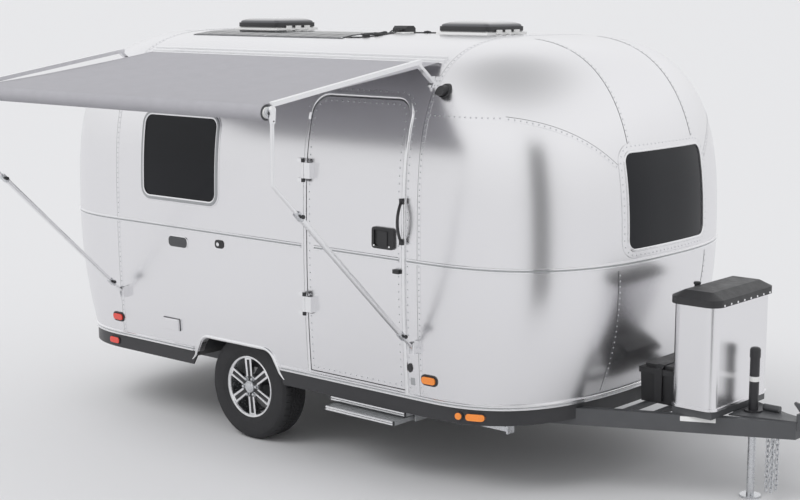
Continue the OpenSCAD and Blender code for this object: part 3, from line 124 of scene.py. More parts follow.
def finish(slot, color, rough, metallic=0.0, tint=0.06, grain=30.0, spread=0.06, detail=5.0,
           bump=0.0, bump_scale=300.0, wave=0.0, coat=0.0, specular=0.5):
    """A surface whose colour and gloss wander with a noise, with fine grain and slow waves as relief."""
    mat = MATERIALS[slot] = bpy.data.materials.new(slot)
    mat.use_nodes = True
    nodes, links = mat.node_tree.nodes, mat.node_tree.links
    shader = nodes["Principled BSDF"]
    assign(shader, Metallic=metallic, Roughness=rough, Specular_IOR_Level=specular, Coat_Weight=coat,
           Coat_Roughness=COAT_ROUGH)
    coords = nodes.new("ShaderNodeTexCoord")

    def noise(scale, detail):
        node = nodes.new("ShaderNodeTexNoise")
        assign(node, Scale=scale, Detail=detail)
        links.new(coords.outputs["Object"], node.inputs["Vector"])
        return node.outputs["Fac"]

    wander = noise(grain, detail)
    if spread:
        gloss = nodes.new("ShaderNodeMapRange")
        assign(gloss, From_Min=0.3, From_Max=0.7, To_Min=max(0.02, rough - spread),
               To_Max=min(1.0, rough + spread))
        links.new(wander, gloss.inputs["Value"])
        links.new(gloss.outputs["Result"], shader.inputs["Roughness"])
    mix = nodes.new("ShaderNodeMix")
    mix.data_type = "RGBA"
    assign(mix, A=[c*(1 - tint) for c in color] + [1], B=[min(1.0, c*(1 + tint)) for c in color] + [1])
    links.new(wander, mix.inputs["Factor"])
    links.new(mix.outputs["Result"], shader.inputs["Base Color"])
    normal = None
    for height, scale, fineness in ((wave, WAVE_SCALE, 1.0), (bump, bump_scale, 3.0)):
        if height:
            relief = nodes.new("ShaderNodeBump")
            assign(relief, Distance=height)
            links.new(noise(scale, fineness), relief.inputs["Height"])
            if normal:
                links.new(normal, relief.inputs["Normal"])
            normal = relief.outputs["Normal"]
    if normal:
        links.new(normal, shader.inputs["Normal"])


finish("aluminium", (0.84, 0.835, 0.85), 0.27, 1.0, tint=0.015, grain=1.4, spread=0.0, detail=0.0, wave=0.002)
finish("bright_trim", (0.88, 0.88, 0.89), 0.20, 1.0, tint=0.03, grain=25.0, spread=0.04)
finish("alloy", (0.74, 0.75, 0.77), 0.24, 1.0, tint=0.05, grain=60.0)
finish("dark_steel", (0.075, 0.077, 0.082), 0.42, tint=0.15, grain=12.0, bump=0.0004, bump_scale=400.0)
finish("black_steel", (0.028, 0.028, 0.031), 0.38, tint=0.2, grain=14.0, bump=0.0003, bump_scale=400.0)
finish("grey_steel", (0.42, 0.43, 0.44), 0.40, 0.6, tint=0.08, grain=20.0)
finish("zinc_steel", (0.66, 0.67, 0.69), 0.30, 1.0, tint=0.12, grain=70.0, spread=0.1)
finish("tyre", (0.024, 0.024, 0.026), 0.72, tint=0.2, bump=0.0006, bump_scale=350.0)
finish("floor", (0.10, 0.10, 0.10), 0.6, tint=0.15, grain=10.0)
finish("dark_glass", (0.012, 0.013, 0.016), 0.12, tint=0.05, grain=3.0, spread=0.02, specular=0.2)
finish("black_plastic", (0.026, 0.026, 0.028), 0.45, tint=0.15, grain=20.0, bump=0.0006, bump_scale=700.0)
finish("white_plastic", (0.80, 0.80, 0.79), 0.42, tint=0.03, grain=12.0, bump=0.0003, bump_scale=500.0)
finish("smoked_plastic", (0.055, 0.056, 0.064), 0.14, tint=0.1, grain=8.0, coat=1.0)
finish("solar", (0.050, 0.053, 0.062), 0.30, tint=0.2, grain=25.0, coat=0.3)
finish("amber_lens", (0.95, 0.27, 0.03), 0.20, tint=0.12, grain=150.0, bump=0.001, bump_scale=150.0, coat=0.6)
finish("red_lens", (0.72, 0.05, 0.03), 0.20, tint=0.15, grain=150.0, bump=0.001, bump_scale=150.0, coat=0.6)
finish("grey_cloth", (0.39, 0.385, 0.41), 0.85, tint=0.08, grain=14.0, bump=0.0015, bump_scale=900.0)


def mesh_object(name, verts, faces, mat):
    mesh = bpy.data.meshes.new(name)
    mesh.from_pydata([tuple(v) for v in verts], [], faces)
    mesh.materials.append(mat)
    obj = bpy.data.objects.new(name, mesh)
    bpy.context.scene.collection.objects.link(obj)
    return obj


def riding(name, verts, faces, slot, body):
    obj = mesh_object(name, verts, faces, MATERIALS[slot])
    obj.data.polygons.foreach_set("use_smooth", [True]*len(faces))
    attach(obj, body)
    return obj


def piece(name, parts, slot, body="trailer", smooth=35.0):
    """One piece of several (vertices, faces) parts; edges sharper than smooth degrees stay sharp."""
    verts, faces = [], []
    for v, f in parts:
        faces += [tuple(i + len(verts) for i in face) for face in f]
        verts += list(v)
    obj = riding(name, verts, faces, slot, body)
    work = bmesh.new()
    work.from_mesh(obj.data)
    bmesh.ops.recalc_face_normals(work, faces=work.faces)
    work.to_mesh(obj.data)
    work.free()
    obj.data.set_sharp_from_angle(angle=math.radians(smooth))
    return obj


# The skin as formulas: rows run from -1 at the rim over 0 at the belt to 1 at the ridge.
def share(row, tuck, power):
    low = 1 - tuck*row*row
    high = (1 - np.clip(row, 0, TOP_ROW)**power)**(1/power)
    return np.where(row < 0, low, high)


def side_share(row):
    return share(row, SIDE_TUCK, SIDE_POW)


def end_share(row):
    return share(row, END_TUCK, END_POW)


def slope(row, tuck, power):
    """Change of the share with the row, over the share."""
    up = np.clip(row, 0, TOP_ROW)
    low = -2*tuck*row/(1 - tuck*row*row)
    high = -up**(power - 1)/(1 - up**power)
    return np.where(row < 0, low, high)


def row_of(z):
    z = np.asarray(z, float)
    return np.clip(np.where(z < BELT_Z, (z - BELT_Z)/LOW_H, (z - BELT_Z)/HIGH_H), -1, TOP_ROW)


def height_of(row, out):
    return BELT_Z + np.where(row < 0, row*LOW_H, row*(HIGH_H + out))


def skin_normals(points):
    """Outward directions of the skin at points on it."""
    p = np.asarray(points, float).reshape(-1, 3)
    row = row_of(p[:, 2])
    end = np.where(p[:, 0] > FRONT_X, 1, np.where(p[:, 0] < REAR_X, -1, 0))
    reach = np.where(end > 0, p[:, 0] - FRONT_X, np.where(end < 0, REAR_X - p[:, 0], 0))
    length = np.where(end > 0, CAP_L[1], CAP_L[-1])*end_share(row)
    along = np.where(end == 0, 0, np.clip(reach/length, 0, 1)**PLAN_POW)
    across = 1 - along
    rise = np.where(row < 0, LOW_H, HIGH_H)
    n = np.stack([
        end*along/np.maximum(reach, 1e-6),
        np.sign(p[:, 1])*across/np.maximum(np.abs(p[:, 1]), 1e-6),
        -(along*slope(row, END_TUCK, END_POW) + across*slope(row, SIDE_TUCK, SIDE_POW))/rise], 1)
    return n/np.linalg.norm(n, axis=1)[:, None]


def skin_normal(point):
    return Vector(skin_normals([point])[0])


def wall_point(x, z, side=-1):
    return Vector((x, side*HALF_W*float(side_share(row_of(z))), float(height_of(row_of(z), 0))))


def cap_point(end, y, z):
    """The point of a cap at a place across and a height."""
    row = row_of(z)
    width, length = HALF_W*float(side_share(row)), CAP_L[end]*float(end_share(row))
    reach = length*max(0.0, 1 - min(1.0, abs(y)/width)**PLAN_POW)**(1/PLAN_POW)
    return Vector((CAP_X[end] + end*reach, y, z))


def roof_row(y):
    """The row, over the belt, of a place across the body's section."""
    return (1 - min(1.0, abs(y)/HALF_W)**SIDE_POW)**(1/SIDE_POW)


# Girths along the section and the plan, to unroll the skin without much stretch.
SAMPLES = 900
EASE = np.linspace(0, 1, SAMPLES)**2*(3 - 2*np.linspace(0, 1, SAMPLES))
PLAN_TURNS = np.concatenate([-EASE[::-1]*np.pi/2, EASE[1:]*np.pi/2])


def lengths(points):
    return np.concatenate([[0], np.cumsum(np.linalg.norm(np.diff(points, axis=0), axis=1))])


SECTION_ROWS = np.concatenate([np.linspace(-1, 0, SAMPLES)[:-1],
                               np.minimum(np.sin(EASE*np.pi/2)**(2/SIDE_POW), TOP_ROW)])
SECTION_LENGTHS = lengths(np.stack([HALF_W*side_share(SECTION_ROWS), height_of(SECTION_ROWS, 0)], 1))
SECTION_END = SECTION_LENGTHS[-1]


def plan(turn):
    """Shares of a cap's length and half width at turns of its plan curve."""
    return np.cos(turn).clip(0)**(2/PLAN_POW), np.sign(turn)*np.abs(np.sin(turn))**(2/PLAN_POW)


def plan_lengths(end):
    ahead, aside = plan(PLAN_TURNS)
    total = lengths(np.stack([CAP_L[end]*ahead, HALF_W*aside], 1))
    return total - total[-1]/2


def girth_of(z):
    return np.interp(row_of(z), SECTION_ROWS, SECTION_LENGTHS)


def on_section(x, girth, side, out):
    row = np.interp(girth, SECTION_LENGTHS, SECTION_ROWS)
    return np.stack([x, side*(HALF_W + out)*side_share(row), height_of(row, out)], 1)


def place_wall(side):
    return lambda flat, out: on_section(*flat.T, side, out)


def place_roof(flat, out):
    return on_section(flat[:, 0], SECTION_END - np.abs(flat[:, 1]), np.sign(flat[:, 1]), out)


def place_cap(end):
    unrolled = plan_lengths(end)

    def place(flat, out):
        row = np.interp(flat[:, 1], SECTION_LENGTHS, SECTION_ROWS)
        ahead, aside = plan(np.interp(flat[:, 0], unrolled, PLAN_TURNS))
        x = (CAP_L[end] + out)*end_share(row)*ahead
        return np.stack([CAP_X[end] + end*x, (HALF_W + out)*side_share(row)*aside, height_of(row, out)], 1)
    return place


def unroll_cap(end, loop):
    """A loop of (across, height) points as flat points of place_cap."""
    y, z = np.array(loop, float).T
    turn = np.arcsin(np.clip(np.abs(y)/(HALF_W*side_share(row_of(z))), 0, 1)**(PLAN_POW/2))
    return np.stack([np.interp(np.sign(y)*turn, PLAN_TURNS, plan_lengths(end)), girth_of(z)], 1)


def rounded(x0, x1, z0, z1, r, n=8, low_r=None):
    """A closed loop round a rectangle with round corners; low_r is the lower corners' radius."""
    low_r = r if low_r is None else low_r
    loop = []
    for cx, cz, rad, start in ((x1 - low_r, z0 + low_r, low_r, -90), (x1 - r, z1 - r, r, 0),
                               (x0 + r, z1 - r, r, 90), (x0 + low_r, z0 + low_r, low_r, 180)):
        steps = n if rad > 0 else 0
        for i in range(steps + 1):
            a = math.radians(start + (90*i/steps if steps else 0))
            loop.append((cx + rad*math.cos(a), cz + rad*math.sin(a)))
    return loop


def resample(loop, spacing, closed=True):
    loop = np.asarray(loop, float)
    after = np.roll(loop, -1, 0) if closed else loop[1:]
    points = []
    for p, q in zip(loop, after):
        n = max(1, math.ceil(np.linalg.norm(q - p)/spacing))
        points += [p + (q - p)*i/n for i in range(n)]
    return np.array(points if closed else points + [loop[-1]])


def inside(points, loops):
    hit = np.zeros(len(points), bool)
    for loop in loops:
        for p, q in zip(loop, np.roll(loop, -1, 0)):
            cross = (p[1] > points[:, 1]) != (q[1] > points[:, 1])
            if cross.any():
                x = p[0] + (points[:, 1] - p[1])*(q[0] - p[0])/(q[1] - p[1] + 1e-15)
                hit ^= cross & (points[:, 0] < x)
    return hit


def fill(loops, spacing):
    """Points and triangles that fill the first loop outside the others, on an even grid."""
    loops = [resample(loop, spacing) for loop in loops]
    rim = np.concatenate(loops)
    edges, start = [], 0
    for loop in loops:
        n = len(loop)
        edges += [(start + i, start + (i + 1) % n) for i in range(n)]
        start += n
    low, high = rim.min(0), rim.max(0)
    count = np.maximum(2, np.round((high - low)/spacing).astype(int))
    gx, gy = np.meshgrid(*(np.linspace(low[k], high[k], count[k] + 1) for k in (0, 1)))
    grid = np.stack([gx.ravel(), gy.ravel()], 1)
    grid = grid[inside(grid, loops)]
    near = np.array([np.min(np.sum((rim - g)**2, 1)) for g in grid]) if len(grid) else np.zeros(0)
    grid = grid[near > (0.5*spacing)**2]
    points = [Vector(p) for p in np.concatenate([rim, grid])]
    verts, _, faces, *_ = delaunay_2d_cdt(points, edges, [], 0, 1e-7)
    flat = np.array([tuple(v) for v in verts])
    tris = np.array([f for f in faces if len(f) == 3])
    keep = inside(flat[tris].mean(1), loops)
    return flat, [tuple(int(i) for i in t) for t in tris[keep]]


def panel(name, loops, place, slot, body="trailer", out=0.0, depth=WALL_T, spacing=0.04, top=None):
    """A sheet of the shell with its thickness; its outer normals are the skin's own."""
    flat, tris = fill(loops, spacing)
    outer, inner = place(flat, out), place(flat, out - depth)
    normals = skin_normals(place(flat, 0.0))
    n = len(flat)
    a, b, c = (outer[[t[k] for t in tris]] for k in (0, 1, 2))
    facing = np.einsum("ij,ij->i", np.cross(b - a, c - a), normals[[t[0] for t in tris]])
    if np.sum(facing) < 0:
        tris = [t[::-1] for t in tris]
    used = dict.fromkeys((i, j) for t in tris for i, j in zip(t, t[1:] + t[:1]))
    border = [(i, j) for i, j in used if (j, i) not in used]
    faces = list(tris) + [tuple(i + n for i in t[::-1]) for t in tris]
    loop_normals = [normals[i] for t in tris for i in t] + [-normals[i] for t in tris for i in t[::-1]]
    if top is not None:
        # The points that meet along the ridge get one face over them and one under.
        crest = sorted((i for i in range(n) if flat[i][1] > top - 1e-6), key=lambda i: flat[i][0])
        rim = set(crest)
        border = [(i, j) for i, j in border if not (i in rim and j in rim)] + [(crest[0], crest[-1])]
        if any((i, j) in used for i, j in zip(crest, crest[1:])):
            crest, border = crest[::-1], border[:-1] + [(crest[-1], crest[0])]
        faces += [tuple(crest), tuple(i + n for i in crest[::-1])]
        loop_normals += [np.array((0, 0, 1.0))]*len(crest) + [np.array((0, 0, -1.0))]*len(crest)
    points = np.concatenate([outer, inner])
    for i, j in border:
        faces.append((j, i, i + n, j + n))
        cross = np.cross(points[i] - points[j], points[i + n] - points[j])
        size = np.linalg.norm(cross)
        loop_normals += [cross/size if size > 1e-12 else normals[i]]*4
    obj = riding(name, points, faces, slot, body)
    obj.data.normals_split_custom_set([tuple(v) for v in loop_normals])
    return obj


# Loops of the openings, in the walls' plane or across the caps.
def door_loop(grow):
    return rounded(DOOR_X0 - grow, DOOR_X1 + grow, DOOR_Z0 - grow, DOOR_Z1 + grow, DOOR_R + grow, low_r=0.0)


def part_box(node, chosen):
    """The box of those points of a node that are chosen."""
    co = np.array([v.co for v in NODES[node].data.vertices])
    return co[chosen(co)].min(0), co[chosen(co)].max(0)


CURB_PANE = part_box("window_panes", lambda p: p[:, 1] < -0.9)
FRONT_PANE = part_box("window_panes", lambda p: p[:, 0] > FRONT_X)


def window_loop(pane, axis, grow):
    (low, high), g = pane, grow + PANE_GAP
    return rounded(low[axis] - g, high[axis] + g, low[2] - g, high[2] + g, WIN_R + grow)


def side_window(grow):
    return window_loop(CURB_PANE, 0, grow)


def end_window(grow):
    return window_loop(FRONT_PANE, 1, grow)


ARCH_LOW, ARCH_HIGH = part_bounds("arch_trims")
ARCH_TRIM_W = 0.022
ARCH_TRIM_T = 0.014
ARCH_TOP_Z = ARCH_HIGH.z - ARCH_TRIM_W
ARCH_MID_X = (ARCH_LOW.x + ARCH_HIGH.x)/2
ARCH_HALF_TOP = 0.305
ARCH_HALF_LOW = 0.425
ARCH_STEPS = 12
SKIRT_LOW_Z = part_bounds("skirt")[0].z


def arch_line(grow):
    """The wheel arch's edge as (x, z) points, from its front foot at the rim to its rear foot."""
    half_low, half_top = ARCH_HALF_LOW + grow, ARCH_HALF_TOP + grow
    top, r = ARCH_TOP_Z + grow, ARCH_R + grow
    lean = math.atan2(ARCH_HALF_LOW - ARCH_HALF_TOP, ARCH_TOP_Z - SKIRT_LOW_Z)
    turn = math.pi/2 - lean
    cx = half_top - r*math.tan(turn/2)
    angles = [lean + turn*i/ARCH_STEPS for i in range(ARCH_STEPS + 1)]
    front = [(cx + r*math.cos(a), top - r + r*math.sin(a)) for a in angles]
    x, z = front[0]
    front.insert(0, (x + (z - RIM_Z)*(half_low - x)/(z - SKIRT_LOW_Z), RIM_Z))
    return [(ARCH_MID_X + x, z) for x, z in front] + [(ARCH_MID_X - x, z) for x, z in reversed(front)]


def flat_wall(loop):
    return [(x, float(girth_of(z))) for x, z in loop]


def shell():
    top = [(FRONT_X, ROOF_EDGE_Z), (REAR_X, ROOF_EDGE_Z)]
    wall = flat_wall([(REAR_X, RIM_Z)] + arch_line(0)[::-1] + [(FRONT_X, RIM_Z)] + top)
    window, door = flat_wall(side_window(0)), flat_wall(door_loop(DOOR_GAP))
    curb = panel("curb_wall_skin", [wall, window, door], place_wall(-1), "aluminium")
    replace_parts(curb, "curb_wall")
    street = panel("street_wall_skin", [wall, window], place_wall(1), "aluminium")
    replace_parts(street, "street_wall")
    edge = SECTION_END - float(girth_of(ROOF_EDGE_Z))
    half = VENT_HOLE/2
    hole_y = SECTION_END - float(np.interp(roof_row(half), SECTION_ROWS, SECTION_LENGTHS))

    def oblong(x0, x1, y):
        return [(x0, -y), (x1, -y), (x1, y), (x0, y)]

    loops = [oblong(REAR_X, FRONT_X, edge)]
    for node in ("vent_lid_rear", "vent_lid_front"):
        low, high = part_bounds(node)
        mid = high.x - (high.y - low.y)/2
        loops.append(oblong(mid - half, mid + half, hole_y))
    roof = panel("roof_skin", loops, place_roof, "aluminium")
    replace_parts(roof, "roof_panel", "roof_sides")
    for end, node in ((1, "front_cap"), (-1, "rear_cap")):
        half = plan_lengths(end)[-1]
        loop = [(-half, 0), (half, 0), (half, SECTION_END), (-half, SECTION_END)]
        cap = panel(node + "_skin", [loop, unroll_cap(end, end_window(0))], place_cap(end), "aluminium",
                    top=SECTION_END)
        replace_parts(cap, node)
    leaf = panel("door_leaf_skin", [flat_wall(door_loop(0))], place_wall(-1), "aluminium", "door")
    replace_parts(leaf, "door_leaf")


shell()


# Mouldings follow a line on the skin: a profile of (rise, out) points is carried along it.
def frames(path, closed):
    """Points, normals and directions across the line of a path on the skin."""
    p = np.array([tuple(v) for v in path])
    n = skin_normals(p)
    ahead = np.roll(p, -1, 0) - np.roll(p, 1, 0) if closed else np.gradient(p, axis=0)
    across = np.cross(n, ahead)
    return p, n, across/np.linalg.norm(across, axis=1)[:, None]


def moulding(path, profile, closed=False, taper=None):
    """Vertices and faces of a moulding along a path on the skin; taper scales the profile at each point."""
    p, n, across = frames(path, closed)
    size = [1.0]*len(p) if taper is None else taper
    rings = [[p[i] + (across[i]*rise + n[i]*out)*size[i] for rise, out in profile] for i in range(len(p))]
    return stacked(rings, closed)


def stacked(rings, closed=False):
    """Loops of equally many points joined in their order; an open stack gets a face at either end."""
    n, count = len(rings[0]), len(rings)
    faces = [] if closed else [tuple(range(n)), tuple(range(n*(count - 1), n*count))]
    for k in range(count if closed else count - 1):
        a, b = n*k, n*((k + 1) % count)
        faces += [(a + i, a + (i + 1) % n, b + (i + 1) % n, b + i) for i in range(n)]
    return [p for ring in rings for p in ring], faces


def girdle(z):
    """The closed line round the shell at one height, from the curb wall's rear end forward."""
    xs = np.linspace(REAR_X, FRONT_X, int((FRONT_X - REAR_X)/STEP))
    width, length = HALF_W*float(side_share(row_of(z))), float(end_share(row_of(z)))

    def cap_curve(end):
        ahead, aside = plan(end*PLAN_TURNS)
        curve = np.stack([CAP_X[end] + end*CAP_L[end]*length*ahead, width*aside], 1)
        total = lengths(curve)
        even = np.linspace(0, total[-1], int(total[-1]/STEP))[1:-1]
        return [Vector((*(np.interp(s, total, curve[:, k]) for k in (0, 1)), z)) for s in even]

    curb, street = [wall_point(x, z) for x in xs], [wall_point(x, z, 1) for x in xs[::-1]]
    return curb + cap_curve(1) + street + cap_curve(-1)


def runs(points, keep):
    """Stretches of a closed line whose points are kept."""
    flags = [keep(p) for p in points]
    start = flags.index(False)
    found, run = [], []
    for i in range(start, start + len(points)):
        if flags[i % len(points)]:
            run.append(points[i % len(points)])
        elif run:
            found.append(run)
            run = []
    return found + ([run] if run else [])


BELT_H = 0.030
BELT_T = 0.008
BELT_SHARES = ((0.50, 0.6), (0.42, 1), (0.18, 1), (0.10, 0.45))
BELT_HALF = [(BELT_H/2, -SINK)] + [(BELT_H*u, BELT_T*v) for u, v in BELT_SHARES]
BELT_PROFILE = [(-u, v) for u, v in BELT_HALF] + BELT_HALF[::-1]
RIM_H = 0.034
RIM_T = 0.012
RIM_LIFT = 0.0005
RIM_SHARES = ((0, 0.7), (0.08, 1), (0.34, 1), (0.42, 0.5), (0.56, 0.5), (0.64, 0.92), (0.88, 0.92), (1, 0.4))
RIM_PROFILE = [(0, -SINK)] + [(RIM_H*u, RIM_T*v) for u, v in RIM_SHARES] + [(RIM_H, -SINK)]
DOOR_TRIM_W = 0.026
DOOR_TRIM_T = 0.012
DOOR_OUT = DOOR_GAP + DOOR_TRIM_W
ARCH_FOOT_DROP = 0.058
ARCH_FOOT_OUT = 0.045
ARCH_FEET = [x for x, _ in arch_line(ARCH_TRIM_W)]
BODY_SIDE_Y = 0.9

BELT_RUNS = runs(girdle(BELT_Z), lambda p: p.y > 0 or not DOOR_X0 - DOOR_OUT < p.x < DOOR_X1 + DOOR_OUT)
RIM_RUNS = runs(girdle(RIM_Z + RIM_LIFT),
                lambda p: abs(p.y) < BODY_SIDE_Y or not min(ARCH_FEET) < p.x < max(ARCH_FEET))
DOOR_BELT = [wall_point(x, BELT_Z) for x in np.linspace(DOOR_X0 + 0.060, DOOR_X1 - 0.020, 30)]


def half_round(width, height, n=8):
    arc = [(-width/2*math.cos(math.pi*i/n), height*(0.35 + 0.65*math.sin(math.pi*i/n))) for i in range(n + 1)]
    return [(-width/2, -SINK)] + arc + [(width/2, -SINK)]


def mouldings():
    belt = [moulding(run, BELT_PROFILE) for run in BELT_RUNS]
    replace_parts(piece("belt_moulding", belt, "bright_trim"), "belt_rail")
    piece("door_belt_moulding", [moulding(DOOR_BELT, BELT_PROFILE)], "bright_trim", "door")
    rim = [moulding(run, RIM_PROFILE) for run in RIM_RUNS]
    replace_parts(piece("rim_moulding", rim, "bright_trim"), "rim_trim")

    # The arch's moulding curls out at its feet and tapers there.
    parts = []
    foot = [(ARCH_FOOT_OUT*t**1.6, RIM_Z - ARCH_FOOT_DROP*t, 1 - 0.65*t) for t in np.linspace(1, 0, 10)[:-1]]
    sizes = [size for _, _, size in foot]
    line = resample(arch_line(ARCH_TRIM_W/2), STEP, closed=False)
    for side in (-1, 1):
        path = [wall_point(x, z, side) for x, z in line]
        front, rear = ([Vector((p.x + way*dx, path[0].y, z)) for dx, z, _ in foot]
                       for p, way in ((path[0], 1), (path[-1], -1)))
        taper = sizes + [1.0]*len(line) + sizes[::-1]
        parts.append(moulding(front + path + rear[::-1], half_round(ARCH_TRIM_W, ARCH_TRIM_T), taper=taper))
    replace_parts(piece("arch_mouldings", parts, "bright_trim"), "arch_trims")

    line = [p for p in door_loop(DOOR_GAP + DOOR_TRIM_W/2)
            if p[0] > DOOR_X0 + DOOR_R*1.5 or p[1] > DOOR_Z1 - DOOR_R - 0.001]
    path = [wall_point(x, z) for x, z in resample(line, STEP, closed=False)]
    trim = moulding(path, half_round(DOOR_TRIM_W, DOOR_TRIM_T))
    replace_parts(piece("door_frame_trim", [trim], "bright_trim"), "door_trim")


mouldings()

# Windows: frames that follow the skin, rounded lips and thin panes.
FRAME_LIP = 0.012
SIDE_LIP = 0.026
SIDE_LIP_SHIFT = 0.004
LIP_RISE = 0.0015
FRAME_FLANGE = 0.026
END_FLANGE = 0.044
FRAME_T = 0.009
PANE_FIT = 0.0005
PANE_IN = 0.001
PANE_T = 0.006
PANE_STEP = 0.06


def frame_profile(flange):
    return [(-FRAME_LIP, -0.004), (-FRAME_LIP, FRAME_T*0.7), (-FRAME_LIP*0.6, FRAME_T), (0.002, FRAME_T),
            (0.006, FRAME_T*0.55), (flange - 0.002, FRAME_T*0.45), (flange, FRAME_T*0.2), (flange, -SINK)]


def outward(path):
    """A closed path turned so that its across direction points away from its middle."""
    p, _, across = frames(path, True)
    return path if np.dot(across[0], p[0] - p.mean(0)) > 0 else path[::-1]


def windows():
    rings, panes = [], []

    def window(name, path, flange, lip, loop, place):
        path = outward(path)
        rings.append(moulding(path, frame_profile(flange), True))
        panes.append(panel(name, [loop], place, "dark_glass", out=-PANE_IN, depth=PANE_T, spacing=PANE_STEP))
        return moulding(path, lip, True)

    lips, side_lips = [], []
    lip = [(a + SIDE_LIP_SHIFT, h) for a, h in half_round(SIDE_LIP, FRAME_T + LIP_RISE)]
    for side, name in ((-1, "side_pane_curb"), (1, "side_pane_street")):
        path = [wall_point(x, z, side) for x, z in resample(side_window(0), STEP)]
        loop = flat_wall(side_window(-PANE_FIT))
        side_lips.append(window(name, path, FRAME_FLANGE, lip, loop, place_wall(side)))
    lip = [(a - FRAME_LIP/2, h) for a, h in half_round(FRAME_LIP, FRAME_T + LIP_RISE)]
    for end, name in ((1, "front_pane"), (-1, "rear_pane")):
        path = [cap_point(end, y, z) for y, z in resample(end_window(0), STEP)]
        loop = unroll_cap(end, end_window(-PANE_FIT))
        lips.append(window(name, path, END_FLANGE, lip, loop, place_cap(end)))
    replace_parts(piece("window_frame_rings", rings, "aluminium"), "window_frames")
    piece("window_lips", lips, "bright_trim")
    piece("side_window_lips", side_lips, "grey_steel")
    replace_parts(panes[0], "window_panes")


windows()


# Forms for the fittings: turned pieces, and plates with a chamfered face.
def turned(section, centre, axis, sides=32, ring=False):
    """A section of (along, radius) points turned about an axis; a ring's section is closed."""
    n = Vector(axis).normalized()
    u = n.orthogonal().normalized()
    v = n.cross(u)
    k = len(section)
    verts, faces = [], []
    for i in range(sides):
        a = 2*math.pi*i/sides
        spoke = u*math.cos(a) + v*math.sin(a)
        verts += [Vector(centre) + n*along + spoke*radius for along, radius in section]
        j = (i + 1) % sides
        for m in range(k if ring else k - 1):
            q = (m + 1) % k
            faces.append((i*k + m, i*k + q, j*k + q, j*k + m))
    if not ring:
        faces += [tuple(i*k for i in range(sides)), tuple(i*k + k - 1 for i in range(sides))]
    return verts, faces


def dome(centre, normal, radius, height, sides=8):
    """A low round head, closed by a point."""
    rows = ((-0.3*height, radius), (0.35*height, 0.96*radius), (0.85*height, 0.6*radius))
    verts, faces = turned(rows, centre, normal, sides)
    top = faces.pop()
    verts.append(Vector(centre) + Vector(normal)*height)
    return verts, faces + [(top[i], top[(i + 1) % sides], len(verts) - 1) for i in range(sides)]


def inset(loop, by):
    """A closed, counter-clockwise loop of flat points moved inwards."""
    p = np.asarray(loop, float)
    ahead = np.roll(p, -1, 0) - p
    ahead /= np.linalg.norm(ahead, axis=1)[:, None]
    left = np.stack([-ahead[:, 1], ahead[:, 0]], 1)
    mid = left + np.roll(left, 1, 0)
    return p + mid*by/(mid*left).sum(1)[:, None]


def plate(loop, place, low, high, edge):
    """A plate with a chamfered upper edge; place(u, v, height) gives its points."""
    rings = ((loop, low), (loop, high - edge), (inset(loop, edge), high))
    return stacked([[place(u, v, h) for u, v in ring] for ring, h in rings])


def plane_at(centre, normal):
    """place(u, v, height) on an upright plane whose u lies level."""
    n = Vector(normal).normalized()
    u = Vector((-n.y, n.x, 0)).normalized()
    v = n.cross(u)
    return lambda a, b, h: Vector(centre) + u*a + v*b + n*h


def on_wall(x, z, h):
    p = wall_point(x, z)
    return p + skin_normal(p)*h


def on_roof(x, y, h):
    p = Vector((x, y, BELT_Z + roof_row(y)*HIGH_H))
    return p + skin_normal(p)*h


# Seams and rivets: thin laps with a dark line beside them, and low domes set in rows on the skin.
RIVET_R = 0.0055
RIVET_H = 0.0022
RIVET_PITCH = 0.034
RIVET_STEP = 0.02
FRAME_PITCH = 0.040
DOOR_PITCH = 0.045
LAP_W = 0.024
LAP_T = 0.0012
LAP_GAP = 0.003
GAP_OUT = 0.0005
GROOVE_OUT = 0.0003
# The corner seam's places across and heights, and the heights and slants of the middle sheet's edges.
CORNER_YS = (0.475, 0.703, 0.938, 1.025)
CORNER_ZS = (1.906, 2.067, 2.177, 2.188)
CORNER_ROW_Z = 2.19
UPPER_ZS = np.concatenate([np.linspace(2.020, 2.560, 24), np.linspace(2.566, 2.606, 8)])
LOWER_ZS = np.linspace(0.580, 1.320, 26)
laps, gaps = [], []
rivets = {"trailer": [], "door": []}


def rivet_row(path, pitch, body="trailer", lift=0.0, closed=False):
    p = np.array([tuple(v) for v in (path + path[:1] if closed else path)])
    total = lengths(p)
    places = np.arange(pitch/2, total[-1], pitch)
    at = np.stack([np.interp(places, total, p[:, k]) for k in range(3)], 1)
    rivets[body] += list(zip(at + skin_normals(at)*lift, skin_normals(at)))


def band(low, high, out):
    """The profile of a flat strip."""
    return [(low, -SINK), (low, out), (high, out), (high, -SINK)]


def seam(path):
    """A lap joint of two sheets: a thin strip on the skin with a row of rivets."""
    laps.append(moulding(path, band(-LAP_W/2, LAP_W/2, LAP_T)))
    gaps.append(moulding(path, band(LAP_W/2, LAP_W/2 + LAP_GAP, GAP_OUT)))
    rivet_row(path, RIVET_PITCH, lift=LAP_T)


def section_line(x, side):
    girths = np.linspace(float(girth_of(RIM_Z + RIM_H)), SECTION_END - 0.02, 90)
    return [Vector(p) for p in on_section(np.full(90, x), girths, side, 0.0)]


